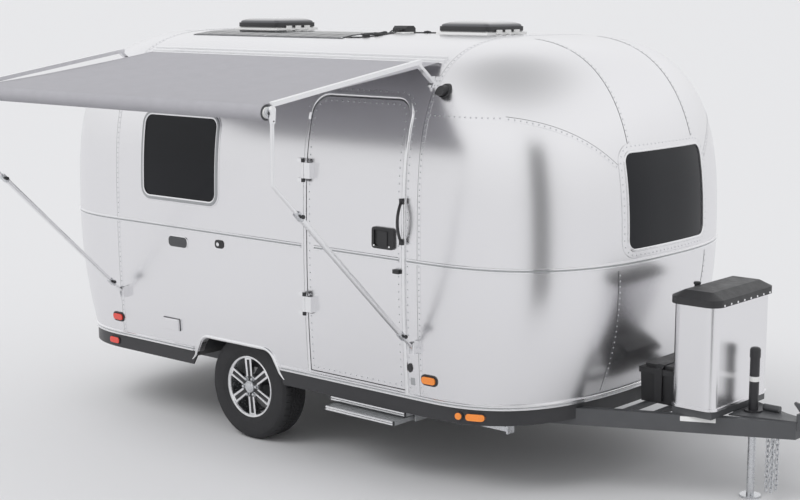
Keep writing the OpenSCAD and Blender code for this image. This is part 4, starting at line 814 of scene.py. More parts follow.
def seams():
    for x in (FRONT_X, REAR_X):
        seam(section_line(x, -1) + [Vector((x, 0, TOP_Z))] + section_line(x, 1)[::-1])
    ys = np.linspace(1.000, 0.475, 24)
    corner = list(zip(ys, np.polyval(np.polyfit(CORNER_YS, CORNER_ZS, 2), ys)))
    upper = [(0.345 - 0.02*(z - 2.02), z) for z in UPPER_ZS]
    lower = [(0.409 + 0.086*(z - 0.56), z) for z in LOWER_ZS]
    for end in (1, -1):
        for side in (-1, 1):
            for line in (corner, upper, lower):
                seam([cap_point(end, side*y, z + GROUND_Z) for y, z in line])
    # The rivets that carry the corner seam's line on to the walls.
    for run in runs(girdle(CORNER_ROW_Z + GROUND_Z), lambda p: not REAR_X < p.x < FRONT_X and abs(p.y) > 1.0):
        rivet_row(run, RIVET_PITCH)
    piece("lap_seams", laps, "aluminium")
    piece("seam_lines", gaps, "dark_steel")
    belt_line = band(-BELT_H*0.09, BELT_H*0.09, BELT_T*0.45 + GROOVE_OUT)
    rim_line = band(RIM_H*0.43, RIM_H*0.55, RIM_T*0.5 + GROOVE_OUT)
    lines = [moulding(run, belt_line) for run in BELT_RUNS] + [moulding(run, rim_line) for run in RIM_RUNS]
    piece("moulding_lines", lines, "grey_steel")
    piece("door_belt_line", [moulding(DOOR_BELT, belt_line)], "grey_steel", "door")


def window_rivets():
    for end in (1, -1):
        path = [cap_point(end, y, z) for y, z in resample(end_window(END_FLANGE*0.6), RIVET_STEP)]
        rivet_row(path, FRAME_PITCH, lift=FRAME_T*0.45, closed=True)


def door_rivets():
    path = [wall_point(x, z) for x, z in resample(door_loop(-0.022), RIVET_STEP)]
    rivet_row(path, DOOR_PITCH, "door", closed=True)
    line = [p for p in door_loop(DOOR_OUT + 0.014) if p[0] > DOOR_X0 + 0.15 or p[1] > DOOR_Z1 - DOOR_R]
    rivet_row([wall_point(x, z) for x, z in resample(line, RIVET_STEP, closed=False)], DOOR_PITCH)


seams()
window_rivets()
door_rivets()
for body, name in (("trailer", "shell_rivets"), ("door", "door_rivets")):
    piece(name, [dome(c, n, RIVET_R, RIVET_H) for c, n in rivets[body]], "zinc_steel", body, smooth=60.0)

# Skirt: a smooth dark band below the rim, open at the wheel arches.
SKIRT_T = 0.012
ARCH_HALF_RIM = arch_line(0)[0][0] - ARCH_MID_X


def skirt():
    def clear(p):
        return abs(p.x - ARCH_MID_X) >= ARCH_HALF_LOW + 0.02 or abs(p.y) <= BODY_SIDE_Y

    corners = ((0.0, RIM_Z), (0.0, SKIRT_LOW_Z), (SKIRT_T, SKIRT_LOW_Z), (SKIRT_T, RIM_Z))
    parts = []
    for run in runs(girdle(RIM_Z), clear):
        p = np.array([tuple(v) for v in run])
        ahead = np.gradient(p, axis=0)
        out = np.stack([ahead[:, 1], -ahead[:, 0]], 1)/np.linalg.norm(ahead, axis=1)[:, None]
        rings = [[(x - nx*d, y - ny*d, z) for d, z in corners] for (x, y, _), (nx, ny) in zip(p, out)]
        for at, ring in ((0, rings[0]), (len(rings) + 1, rings[-1])):
            end = 1 if ring[0][0] > ARCH_MID_X else -1
            rings.insert(at, [(ARCH_MID_X + end*(ARCH_HALF_RIM if z == RIM_Z else ARCH_HALF_LOW), y, z)
                              for _, y, z in ring])
        parts.append(stacked(rings))
    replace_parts(piece("skirt_band", parts, "black_steel"), "skirt")


skirt()

# Wheels: tyres with a grooved, siped tread, and alloy rims with paired spokes.
WHEEL_R = WHEEL_Z - GROUND_Z
RIM_R = 0.203
BULGE_R = (WHEEL_R + RIM_R)/2
BULGE_IN = 0.002
TYRE_OUT_Y = BULGE_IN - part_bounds("tyre_curb")[0].y
TYRE_W = 0.215
BEAD_IN = 0.020
TREAD_IN = 0.058
SIDEWALL_POW = 0.72
TYRE_SIDES = 540
SIPE_STEP = 6
SIPE_D = 0.0045
BLOCK_STEP = 12
GROOVES = (0.0720, 0.0957, 0.1193, 0.1430)
GROOVE_W = 0.0078
GROOVE_D = 0.007
SIDE_RIDGES = (0.22, 0.62, 1.30, 1.40)
RIDGE_H = 0.0011
SPOKES = 6
SPOKE_TURN = math.radians(36)
SPOKE_LOOP = [(0.066, 0.012), (0.176, 0.013), (0.176, -0.013), (0.066, -0.012), (0.066, -0.026),
              (0.193, -0.030), (0.193, 0.030), (0.066, 0.026)]
POCKET_LOOP = [(0.080, -0.014), (0.178, -0.015), (0.178, 0.015), (0.080, 0.014)]
LUG_CIRCLE_R = 0.058
# Sections of a rim's parts as (depth below the tyre's face, radius) points.
BARREL = ((0.021, RIM_R), (0.195, RIM_R), (0.195, 0.191), (0.075, 0.180), (0.040, 0.181), (0.024, 0.187))
RIM_LIP = ((0.022, 0.2035), (0.0165, 0.2030), (0.0150, 0.2005), (0.0160, 0.1985), (0.0200, 0.1970),
           (0.0200, 0.1945), (0.0185, 0.1930), (0.0190, 0.1900), (0.0240, 0.1860), (0.0320, 0.1840),
           (0.0340, 0.1900))
HUB = ((0.058, 0.086), (0.032, 0.086), (0.0285, 0.083), (0.0285, 0.044), (0.030, 0.010))
LUG_SEAT = ((0.030, 0.0150), (0.0265, 0.0150), (0.0255, 0.0135))
LUG_NUT = ((0.030, 0.0115), (0.0140, 0.0115), (0.0105, 0.0092), (0.0085, 0.0050))
HUB_CAP = ((0.031, 0.0400), (0.0170, 0.0400), (0.0140, 0.0385), (0.0130, 0.0340), (0.0150, 0.0320),
           (0.0150, 0.0300), (0.0115, 0.0270), (0.0095, 0.0150))


def sidewall(t):
    """Depth and radius: t runs from 0 at the bead over 1 at the bulge to 2 at the tread."""
    a = abs(t - 1)*math.pi/2
    if t < 1:
        return BEAD_IN - (BEAD_IN - BULGE_IN)*math.cos(a), BULGE_R - (BULGE_R - RIM_R)*math.sin(a)
    return (TREAD_IN - (TREAD_IN - BULGE_IN)*max(0.0, math.cos(a))**SIDEWALL_POW,
            BULGE_R + (WHEEL_R - BULGE_R)*math.sin(a)**SIDEWALL_POW)


def tyre_rows():
    """Rows of depth, radius, cut, phase and step of the cuts, from the outer bead to the inner one."""
    stops = [(t, 0.0) for t in np.linspace(0, 2, 31) if all(abs(t - r) > 0.05 for r in SIDE_RIDGES)]
    stops += [(r + d, RIDGE_H*(abs(d) < 0.02)) for r in SIDE_RIDGES for d in (-0.03, -0.015, 0.015, 0.03)]
    side = []
    for t, rise in sorted(stops):
        depth, radius = sidewall(t)
        side.append((depth - rise, radius, SIPE_D if 1.62 < t < 1.99 else 0.0, 0, BLOCK_STEP))
    tread = []
    edges = [TREAD_IN] + [g + s*GROOVE_W/2 for g in GROOVES for s in (-1, 1)] + [TYRE_W - TREAD_IN]
    for rib in range(len(edges)//2):
        start, end = edges[2*rib], edges[2*rib + 1]
        for k, depth in enumerate((start, (start + end)/2, end)):
            tread.append((depth, WHEEL_R, SIPE_D, 2*rib + k, SIPE_STEP))
        if rib < len(GROOVES):
            tread += [(end + GROOVE_W*f, WHEEL_R - GROOVE_D, 0.0, 0, SIPE_STEP) for f in (0.25, 0.75)]
    far = [(TYRE_W - d, *rest) for d, *rest in reversed(side)]
    return np.array(side[:-1] + tread + far[1:])


def tyre_mesh(side):
    depth, radius, cut, phase, step = tyre_rows().T
    i = np.arange(TYRE_SIDES)[:, None]
    r = radius - cut*((i + phase) % step == 0)
    a = 2*np.pi*i/TYRE_SIDES
    points = np.stack([AXLE_X + r*np.cos(a), side*(TYRE_OUT_Y - depth) + 0*r, WHEEL_Z + r*np.sin(a)], 2)
    return stacked(points, True)


def wheel_place(side, turn):
    """place(u, v, height) on a wheel: u out from its centre, v across, height out from the tyre's face."""
    c, s = math.cos(turn), math.sin(turn)
    return lambda u, v, h: Vector((AXLE_X + u*c - v*s, side*(TYRE_OUT_Y + h), WHEEL_Z + u*s + v*c))


def wheel(name, side):
    body = "wheel_" + name
    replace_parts(piece("tyre_%s_tread" % name, [tyre_mesh(side)], "tyre", body, smooth=28.0), "tyre_" + name)

    def about(section, sides=96, ring=False, out=0.0, turn=0.0):
        spot = Vector((AXLE_X + out*math.cos(turn), 0, WHEEL_Z + out*math.sin(turn)))
        line = [(TYRE_OUT_Y - depth, radius) for depth, radius in section]
        return turned(line, spot, (0, side, 0), sides, ring)

    barrel = about(BARREL, ring=True)
    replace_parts(piece("rim_%s_barrel" % name, [barrel], "alloy", body), "rim_" + name)
    piece("rim_%s_lip" % name, [about(RIM_LIP, ring=True)], "bright_trim", body)
    turns = [SPOKE_TURN + 2*math.pi*i/SPOKES for i in range(SPOKES)]
    bars = [plate(SPOKE_LOOP, wheel_place(side, turn), -0.050, -0.0225, 0.0025) for turn in turns]
    piece("rim_%s_spokes" % name, bars, "bright_trim", body)
    floors = [plate(POCKET_LOOP, wheel_place(side, turn), -0.050, -0.0345, 0.001) for turn in turns]
    piece("rim_%s_hub" % name, floors + [about(HUB, 72)], "black_steel", body)
    lugs = []
    for turn in turns:
        for section, sides in ((LUG_SEAT, 24), (LUG_NUT, 6)):
            lugs.append(about(section, sides, out=LUG_CIRCLE_R, turn=turn + math.pi/SPOKES))
    piece("rim_%s_lugs" % name, lugs + [about(HUB_CAP, 64)], "zinc_steel", body)


wheel("curb", -1)
wheel("street", 1)

# Awning cloth: one thin sheet stretched from the rail to the roller, its hems and the wound turns.
CLOTH_LOW, CLOTH_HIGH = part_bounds("awning_cloth")
CLOTH_W = CLOTH_HIGH.x - CLOTH_LOW.x
ROLLER_LOW, ROLLER_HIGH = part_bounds("awning_roller")
ROLLER_MID = (ROLLER_LOW + ROLLER_HIGH)/2
ROLLER_R = (ROLLER_HIGH.z - ROLLER_LOW.z)/2
CLOTH_T = 0.0016
CLOTH_IN = 0.0015
CLOTH_SAG = 0.024
CLOTH_EDGE_SAG = 0.012
RIPPLE_H = 0.0022
RIPPLES = 7
CLOTH_NU = 80
CLOTH_NV = 40
HEM_W = 0.028
HEM_T = 0.0036


def cloth_point(u, v):
    """A point of the sheet: u along the trailer, v from the rail to the roller."""
    y = CLOTH_HIGH.y + v*(CLOTH_LOW.y - CLOTH_HIGH.y)
    z = CLOTH_HIGH.z - CLOTH_IN + v*(CLOTH_LOW.z - CLOTH_HIGH.z + 2*CLOTH_IN)
    sag = CLOTH_EDGE_SAG + (CLOTH_SAG - CLOTH_EDGE_SAG)*math.sin(math.pi*u)
    ripple = RIPPLE_H*math.sin(2*math.pi*RIPPLES*u + 5*v)
    return Vector((CLOTH_LOW.x + u*CLOTH_W, y, z + 4*v*(1 - v)*(ripple - sag)))


def cloth_line(u, rise=0.0):
    return [cloth_point(u, j/CLOTH_NV) + Vector((0, 0, rise)) for j in range(CLOTH_NV + 1)]


def cloth():
    # A grid for the sheet's upper side, one for its lower side, and faces round its rim.
    rows = [i/CLOTH_NU for i in range(CLOTH_NU + 1)]
    verts = [p for rise in (CLOTH_T/2, -CLOTH_T/2) for u in rows for p in cloth_line(u, rise)]
    k, n = CLOTH_NV + 1, len(verts)//2
    faces = []
    for a in (i*k + j for i in range(CLOTH_NU) for j in range(CLOTH_NV)):
        faces += [(a, a + 1, a + k + 1, a + k), (n + a, n + a + k, n + a + k + 1, n + a + 1)]
    rim = [(i*k + j, (i + 1)*k + j) for j in (0, CLOTH_NV) for i in range(CLOTH_NU)]
    rim += [(i*k + j, i*k + j + 1) for i in (0, CLOTH_NU) for j in range(CLOTH_NV)]
    faces += [(a, b, n + b, n + a) for a, b in rim]
    sheet = piece("awning_sheet", [(verts, faces)], "grey_cloth")
    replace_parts(sheet, "awning_cloth")
    hems = []
    for u0, u1 in ((0.0, HEM_W/CLOTH_W), (1 - HEM_W/CLOTH_W, 1.0)):
        corners = ((u0, -HEM_T/2), (u1, -HEM_T/2), (u1, HEM_T/2), (u0, HEM_T/2))
        hems.append(stacked(list(zip(*(cloth_line(u, rise) for u, rise in corners)))))
    hem = piece("awning_hems", hems, "grey_cloth")
    x0, x1 = CLOTH_LOW.x - ROLLER_MID.x + 0.001, CLOTH_HIGH.x - ROLLER_MID.x - 0.001
    core, skin = ROLLER_R - 0.004, ROLLER_R + 0.002
    roll = turned(((x0, core), (x0, skin), (x1, skin), (x1, core)), ROLLER_MID, (1, 0, 0), 48, ring=True)
    wound = piece("awning_wound_cloth", [roll], "grey_cloth")
    middle = cloth_line(0.5)


cloth()

# Roof fittings: smooth vent lids, the solar panel's cells, the cable entry's flange and connectors.
LID_CORNER = 0.034
LID_SKIRT_H = 0.030
LID_WALL = 0.006
DOME_POW = 2.3
DOME_IN = 0.008
DOME_FOOT = 0.003
DOME_STEPS = 14
LEAF_LOOP = rounded(-0.100, 0.100, -0.008, 0.011, 0.003)
LEAF_T = 0.008
LID_ROD = ((-0.136, 0.0036), (-0.1355, 0.004), (0.1355, 0.004), (0.136, 0.0036))


def vent_lid(node):
    low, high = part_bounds(node)
    half = (high.y - low.y)/2
    ledge = low.z + LID_SKIRT_H

    def ring(inwards, z, shrink=1.0):
        size = (half - inwards)*shrink
        loop = rounded(-size, size, -size, size, LID_CORNER*size/half, 6)
        return [Vector((high.x - half + x, (low.y + high.y)/2 + y, z)) for x, y in loop]

    skirt_rings = [ring(LID_WALL, ledge - 0.004), ring(LID_WALL, low.z), ring(0.0015, low.z),
                   ring(0, low.z + 0.0015), ring(0, ledge - 0.003), ring(0.001, ledge - 0.0012),
                   ring(0.004, ledge)]
    piece(node + "_band", [stacked(skirt_rings)], "black_plastic", node)
    foot = ledge + DOME_FOOT
    rings = [ring(DOME_IN, ledge - 0.001)]
    for i in range(DOME_STEPS + 1):
        a = math.pi/2*i/DOME_STEPS
        rings.append(ring(DOME_IN, foot + (high.z - foot)*math.sin(a)**(2/DOME_POW),
                          max(0.02, math.cos(a)**(2/DOME_POW))))
    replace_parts(piece(node + "_dome", [stacked(rings)], "smoked_plastic", node, smooth=50.0), node)
    pin = Vector(JOINTS[node + "_tilt"]["pos_m"])
    rod = turned(LID_ROD, pin, (0, 1, 0), 20)
    leaf = plate(LEAF_LOOP, lambda a, b, h: pin + Vector((-b, a, h - LEAF_T/2)), 0.0, LEAF_T, 0.001)
    piece(node + "_hinge", [rod, leaf], "white_plastic", node)


CELLS_X, CELLS_Y = 11, 3
CELL_BORDER = 0.014
CELL_GAP = 0.005
SOLAR_TOP = 0.0041
GROMMET_IN = 0.007
GROMMET = ((-0.001, 0.0065), (0.001, 0.0065), (0.0014, 0.0052), (0.001, 0.0034), (-0.001, 0.0034))


def solar_cells():
    low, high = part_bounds("solar_panel")
    dx = (high.x - low.x - 2*CELL_BORDER + CELL_GAP)/CELLS_X
    dy = (high.y - low.y - 2*CELL_BORDER + CELL_GAP)/CELLS_Y
    cells = []
    for i in range(CELLS_X):
        for j in range(CELLS_Y):
            x, y = low.x + CELL_BORDER + i*dx, low.y + CELL_BORDER + j*dy
            loop = rounded(x, x + dx - CELL_GAP, y, y + dy - CELL_GAP, 0.008, 3)
            cells.append(plate(loop, on_roof, SOLAR_TOP - 0.001, SOLAR_TOP + 0.0007, 0.0003))
    piece("solar_cells", cells, "dark_glass")
    spots = [on_roof(x, y, SOLAR_TOP) for x in (low.x + GROMMET_IN, (low.x + high.x)/2, high.x - GROMMET_IN)
             for y in (low.y + GROMMET_IN, high.y - GROMMET_IN)]
    piece("solar_grommets", [turned(GROMMET, p, skin_normal(p), 16, ring=True) for p in spots], "bright_trim")


ENTRY_L = 0.140
ENTRY_FLANGE_H = 0.0072
CONNECTOR_R = 0.0085
CONNECTORS = (((0.466, -0.284), (0.488, -0.268)), ((0.530, -0.386), (0.531, -0.318)),
              ((0.577, -0.486), (0.581, -0.418)), ((0.520, -0.540), (0.558, -0.512)),
              ((0.680, -0.124), (0.724, -0.110)))


def cable_entry():
    low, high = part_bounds("cable_box")
    loop = rounded(low.x - 0.012, high.x + 0.012, high.y - ENTRY_L - 0.010, high.y + 0.010, 0.022)
    piece("cable_entry_flange", [plate(loop, on_roof, -SEAT, ENTRY_FLANGE_H, 0.002)], "white_plastic")
    parts = []
    for ends in CONNECTORS:
        a, b = (on_roof(*road(x, y, 0).xy, CONNECTOR_R) for x, y in ends)
        long = (b - a).length
        parts.append(turned([(0, 0.0045), (0.004, 0.0065), (0.016, 0.0065), (0.017, CONNECTOR_R),
                             (long*0.55, CONNECTOR_R), (long*0.57, 0.0075), (long - 0.012, 0.0075),
                             (long - 0.010, 0.0062), (long, 0.0045)], a, b - a, 14))
    piece("lead_connectors", parts, "black_plastic")


def rail_screws():
    low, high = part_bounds("awning_rail")
    spots = [on_roof(float(x), high.y + 0.010, 0.0) for x in np.arange(low.x + 0.06, high.x, 0.155)]
    piece("rail_screws", [dome(p, skin_normal(p), 0.006, 0.003) for p in spots], "dark_steel", smooth=60.0)


vent_lid("vent_lid_rear")
vent_lid("vent_lid_front")
solar_cells()
cable_entry()
rail_screws()

# Small fittings: lamp bases, cap rivets, step noses, the jack's band, plates and caps.
# A lamp base is given by its place along and height, half width, half height, corner radius and rise.
LAMP_BASES = ((1.590, 0.666, 0.060, 0.033, 0.030, 0.006), (1.784, 0.484, 0.026, 0.026, 0.0255, 0.009),
              (1.878, 0.484, 0.056, 0.026, 0.022, 0.006), (-1.210, 0.660, 0.060, 0.033, 0.030, 0.006),
              (-1.274, 0.484, 0.056, 0.026, 0.022, 0.006))


def cap_side(x, z):
    """The point of a cap's curb side at a place along and a height."""
    end = 1 if x > FRONT_X else -1
    reach = min(1.0, end*(x - CAP_X[end])/CAP_L[end]/float(end_share(row_of(z))))
    return Vector((x, -HALF_W*float(side_share(row_of(z)))*(1 - reach**PLAN_POW)**(1/PLAN_POW), z))


def lamp_bases():
    parts = []
    for x, z, half_w, half_h, r, rise in LAMP_BASES:
        p = cap_side(x + AXLE_X, z + GROUND_Z)
        n = skin_normal(p)
        if p.z < RIM_Z:
            n.z = 0
        loop = rounded(-half_w, half_w, -half_h, half_h, r, 8)
        for side in (1, -1):
            place = plane_at((p.x, side*p.y, p.z), (n.x, side*n.y, n.z))
            parts.append(plate(loop, place, -0.006, rise, 0.002))
    piece("lamp_bases", parts, "black_plastic")


CAP_KNOB = ((-0.004, 0.016), (0.010, 0.016), (0.013, 0.021), (0.024, 0.021), (0.027, 0.018))


def gas_cap_rivets():
    low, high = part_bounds("gas_cap")
    heads = [dome((x, y, low.z + 0.009), (way, 0, 0), 0.0075, 0.004) for x, way in ((high.x, 1), (low.x, -1))
             for y in np.linspace(low.y + 0.085, high.y - 0.085, 8)]
    piece("gas_cap_rivets", heads, "bright_trim", smooth=60.0)
    knob = turned(CAP_KNOB, (low.x + 0.050, -0.10, high.z - 0.012), (0, 0, 1), 28)
    piece("gas_cap_knob", [knob], "black_plastic")


STEP_NOSE_H = 0.0125
UPPER_STEP_Z = 0.419


def step_noses():
    tread_low, tread_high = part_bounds("step_tread")
    for name, node, body, z in (
            ("upper_step_nose", "step_frame", "trailer", UPPER_STEP_Z + GROUND_Z),
            ("lower_step_nose", "step_tread", "step_tread", (tread_low.z + tread_high.z)/2)):
        low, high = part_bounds(node)
        half, h = (high.x - low.x)/2 - 0.004, STEP_NOSE_H
        place = plane_at(((low.x + high.x)/2, low.y, z), (0, -1, 0))
        bars = [plate(rounded(-half, half, z0, z1, 0.003, 4), place, -0.001, 0.0055, 0.0015)
                for z0, z1 in ((-h, -0.0012), (0.0012, h))]
        piece(name, bars, "bright_trim", body)
        caps = [plate(rounded(s*half - 0.006, s*half + 0.006, -h - 0.001, h + 0.001, 0.004, 4), place,
                      -0.001, 0.0068, 0.002) for s in (-1, 1)]
        piece(name + "_caps", caps, "black_plastic", body)


JACK_BAND_Z = (0.685, 0.714)
JACK_BAND_R = 0.0285
DRAWBAR_REAR = (1.745, -0.800)
DRAWBAR_TURN = math.atan2(0.800, 1.620)
RAIL_W = 0.050
STRIP_AT = 1.220
STRIP_Z = 0.480
STRIP_HALF = (0.100, 0.014)


def tongue_marks():
    low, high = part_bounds("jack_post")
    (z0, z1), r = JACK_BAND_Z, JACK_BAND_R
    ring = turned([(z0, r - 0.003), (z0, r), (z1, r), (z1, r - 0.003)], ((low.x + high.x)/2, 0, GROUND_Z),
                  (0, 0, 1), 40, ring=True)
    piece("jack_band", [ring], "white_plastic")
    c, s = math.cos(DRAWBAR_TURN), math.sin(DRAWBAR_TURN)
    (x, y), (half_l, half_h) = DRAWBAR_REAR, STRIP_HALF
    centre = road(x + STRIP_AT*c + RAIL_W/2*s, y + STRIP_AT*s - RAIL_W/2*c, STRIP_Z)
    strip = plate(rounded(-half_l, half_l, -half_h, half_h, 0.003, 4), plane_at(centre, (s, -c, 0)),
                  -SEAT, 0.0015, 0.0004)
    piece("drawbar_strip", [strip], "white_plastic")


DRAIN_CAP = (1.449, 0.721, 0.017, 0.027)
BLANK_PLATE = (1.464, 0.640, 0.016, 0.022)
LATCH_X, LATCH_Z = DOOR_X1 - 0.134, BELT_Z + 0.116
LATCH_LOCKS = ((-0.066, -0.046), (0.052, -0.046))
LATCH_OUT = 0.0158


def wall_marks():
    x, z, half_w, half_h = DRAIN_CAP
    oval = [(x + AXLE_X + half_w*math.cos(a), z + GROUND_Z + half_h*math.sin(a))
            for a in np.linspace(0, 2*math.pi, 33)[:-1]]
    piece("drain_cap", [plate(oval, on_wall, -SEAT, 0.009, 0.003)], "black_plastic")
    x, z, half_w, half_h = BLANK_PLATE
    x, z = x + AXLE_X, z + GROUND_Z
    loop = rounded(x - half_w, x + half_w, z - half_h, z + half_h, 0.003, 4)
    piece("blank_plate", [plate(loop, on_wall, -SEAT, 0.0014, 0.0004)], "grey_steel")
    edge = DOOR_X0 - DOOR_GAP
    strip = resample(rounded(edge - 0.024, edge - 0.002, RIM_Z + 0.002, DOOR_Z1 - DOOR_R, 0.002, 2), STEP)
    piece("door_hinge_strip", [plate(strip, on_wall, -SEAT, 0.0026, 0.0008)], "bright_trim")
    heads = []
    for dx, dz in LATCH_LOCKS:
        x, z = LATCH_X + dx, LATCH_Z + dz
        heads.append(dome(on_wall(x, z, LATCH_OUT), skin_normal(wall_point(x, z)), 0.007, 0.003))
    piece("latch_locks", heads, "bright_trim", "door", smooth=60.0)


LOCK_BARREL = ((0.0, 0.013), (0.010, 0.013), (0.012, 0.011))


def side_plates():
    """The blank badge plate, the lock and the hatch box on the curb wall."""
    between = 0.25*CURB_PANE[0][0] + 0.75*CURB_PANE[1][0]
    upper = lambda p: p[:, 2] > BELT_Z - 0.25
    badge = part_box("side_fittings", lambda p: upper(p) & (p[:, 0] < between))
    lock = part_box("side_fittings", lambda p: upper(p) & (p[:, 0] > between))
    hatch = part_box("side_fittings", lambda p: ~upper(p))

    def form(name, box, along, up, round_share, low, high, edge, slot):
        (x0, _, z0), (x1, _, z1) = box
        loop = rounded(x0 - along, x1 + along, z0 - up, z1 + up, round_share*(z1 - z0 + 2*up), 8)
        return piece(name, [plate(loop, on_wall, low, high, edge)], slot)

    rim = form("badge_rim", badge, 0.026, 0.016, 0.42, -SEAT, 0.005, 0.0015, "bright_trim")
    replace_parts(rim, "side_fittings")
    form("badge_plate", badge, 0.020, 0.010, 0.40, 0.001, 0.0062, 0.0008, "dark_steel")
    form("lock_plate", lock, 0.010, 0.008, 0.40, -SEAT, 0.006, 0.0015, "black_plastic")
    form("hatch_seal", hatch, 0.004, 0.004, 0.08, -SEAT, 0.003, 0.001, "dark_steel")
    form("hatch_box", hatch, 0.0, 0.0, 0.06, 0.0, 0.022, 0.003, "aluminium")
    (x0, _, z0), (x1, _, z1) = lock
    spot = wall_point(x0 + 0.38*(x1 - x0), (z0 + z1)/2)
    piece("lock_barrel", [turned(LOCK_BARREL, spot, skin_normal(spot), 28)], "bright_trim")


# Awning arms: width and thickness of the rod, the tube and the strip, and what sits on them.
ARM = (0.030, 0.024)
ROD = (0.020, 0.016)
STRIP = (0.027, 0.012)
ELBOW_DROP = 0.342
COLLAR_HALF = 0.028
COLLAR_WALL = 0.003
COLLAR_PLACES = (0.17, 0.92)
KNOB = ((-0.001, 0.006), (0.006, 0.006), (0.008, 0.011), (0.018, 0.011), (0.020, 0.009))


def support_arms():
    """The awning's arms: a slim rod from the roller round the elbow, a wider tube, a strip to the bracket."""
    low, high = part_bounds("support_arms")
    arm_w, arm_t = ARM
    collar = (arm_w + 2*COLLAR_WALL, arm_t + 2*COLLAR_WALL)
    elbow = Vector((0, low.y + arm_t/2, high.z - ELBOW_DROP))
    foot = Vector((0, high.y - arm_t/2, low.z + arm_t/2))
    top = Vector((0, elbow.y, high.z))
    level = Vector((1, 0, 0))
    along = (foot - elbow).normalized()
    up, up_top = along.cross(level), Vector((0, 0, -1)).cross(level)
    mitre = (up + up_top).normalized()
    mitre /= mitre.dot(up)
    upper, lower = (elbow.lerp(foot, place) for place in COLLAR_PLACES)

    def bar(x, size, *stops):
        half_w, half_t = size[0]/2, size[1]/2
        loop = rounded(-half_w, half_w, -half_t, half_t, 0.004, 4)
        return stacked([[p + level*(x + u) + rise*v for u, v in loop] for p, rise in stops])

    tubes, sleeves, knobs = [], [], []
    for x in (low.x + arm_w/2, high.x - arm_w/2):
        tubes += [bar(x, ROD, (top, up_top), (elbow, mitre), (upper, up)),
                  bar(x, ARM, (upper, up), (lower, up)), bar(x, STRIP, (lower, up), (foot, up))]
        for c in (upper, lower):
            sleeves.append(bar(x, collar, (c - along*COLLAR_HALF, up), (c + along*COLLAR_HALF, up)))
            knobs.append(turned(KNOB, c + level*(x + collar[0]/2), level, 20))
    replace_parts(piece("arm_tubes", tubes, "bright_trim"), "support_arms")
    piece("arm_collars", sleeves, "zinc_steel")
    piece("arm_knobs", knobs, "black_plastic")


STUB_L = 0.055
HEAD_R = 0.019
HEAD_LOW = -0.055
HEAD_FOOT = 0.012
TUBE_EDGE = 0.006
# Sections of the roller's ends as (out from the tube, radius) points.
END_CAP = ((0.0, 0.030), (0.010, 0.030), (0.012, 0.027))
END_CORE = ((0.010, 0.019), (0.040, 0.019))
END_COLLAR = ((0.019, 0.030), (0.021, 0.033), (0.028, 0.033), (0.030, 0.030))
HEAD_PIN = ((0.032, 0.0045), (0.0535, 0.0045))


def roller_ends():
    """The roller's tube, dark as painted shade at its ends, and at each end a cap, a core, a collar and the arm's
    head.
    """
    _, y, z = ROLLER_MID
    x0, x1 = ROLLER_LOW.x + STUB_L, ROLLER_HIGH.x - STUB_L
    edge = ROLLER_R - TUBE_EDGE
    tube = turned(((0, edge), (0, ROLLER_R), (x1 - x0, ROLLER_R), (x1 - x0, edge)), (x0, y, z), (1, 0, 0), 48)
    turns = [math.radians(a) for a in range(-20, 201, 10)]
    loop = [(-HEAD_FOOT, HEAD_LOW), (HEAD_FOOT, HEAD_LOW)]
    loop += [(HEAD_R*math.cos(a), HEAD_R*(0.9 + math.sin(a))) for a in turns]
    caps, cores, collars, heads = [], [], [], []
    for x, way in ((x0, -1), (x1, 1)):
        spot, axis = (x, y, z), (way, 0, 0)
        caps.append(turned(END_CAP, spot, axis))
        cores += [turned(END_CORE, spot, axis), turned(HEAD_PIN, (x, y, z + HEAD_LOW*0.75), axis, 16)]
        collars.append(turned(END_COLLAR, spot, axis))
        heads.append(plate(loop, lambda u, v, h: Vector((x + way*h, y + u, z + v)), 0.034, 0.053, 0.002))
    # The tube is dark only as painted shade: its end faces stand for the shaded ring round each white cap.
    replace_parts(piece("roller_tube_painted_shade", [tube], "dark_steel"), "awning_roller")
    piece("roller_caps", caps, "white_plastic")
    piece("roller_cores", cores, "black_plastic")
    piece("roller_collars", collars, "zinc_steel")
    piece("arm_heads", heads, "bright_trim")


KNUCKLE_R = 0.012
PIN_HOLE_R = 0.0055
EAR_T = 0.010
EAR_ROOT = 0.028


def hinge_ears():
    """Bright ears on the wall that end in black knuckles round the hinge pins."""
    low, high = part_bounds("hinge_mounts")
    pin_x, pin_y = high.x - KNUCKLE_R, low.y + KNUCKLE_R
    out, back, tip, root = pin_y - EAR_T/2, pin_y + EAR_T/2, pin_x - PIN_HOLE_R, low.x + EAR_ROOT
    loop = ((low.x, out), (tip, out), (tip, back), (root, back), (root, high.y), (low.x, high.y))
    levels = sorted({round(v.co.z, 4) for v in NODES["hinge_mounts"].data.vertices if v.co.x > pin_x})
    ears, knuckles = [], []
    for z0, z1 in zip(levels[::2], levels[1::2]):
        ears.append(stacked([[Vector((x, y, z)) for x, y in loop] for z in (z0, z1)]))
        section = [(0, PIN_HOLE_R), (0, KNUCKLE_R), (z1 - z0, KNUCKLE_R), (z1 - z0, PIN_HOLE_R)]
        knuckles.append(turned(section, (pin_x, pin_y, z0), (0, 0, 1), ring=True))
    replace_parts(piece("hinge_ears", ears, "bright_trim"), "hinge_mounts")
    piece("hinge_knuckles", knuckles, "black_steel")


lamp_bases()
gas_cap_rivets()
step_noses()
tongue_marks()
wall_marks()
side_plates()
support_arms()
roller_ends()
hinge_ears()

# Carried-over pieces keep their solids and get their finish and softened edges.
EDGE = 0.003
EDGE_TURN = math.radians(40)
slots = {s["node"]: s["material_slot"] for s in frame["record"]["subparts"]}
for name, obj in NODES.items():
    obj.data.materials.clear()
    obj.data.materials.append(MATERIALS[slots[name]])
    if not obj.hide_render:
        bevel = obj.modifiers.new("edges", "BEVEL")
        bevel.width = EDGE
        bevel.segments = 2
        bevel.limit_method = "ANGLE"
        bevel.angle_limit = EDGE_TURN
        bevel.use_clamp_overlap = True

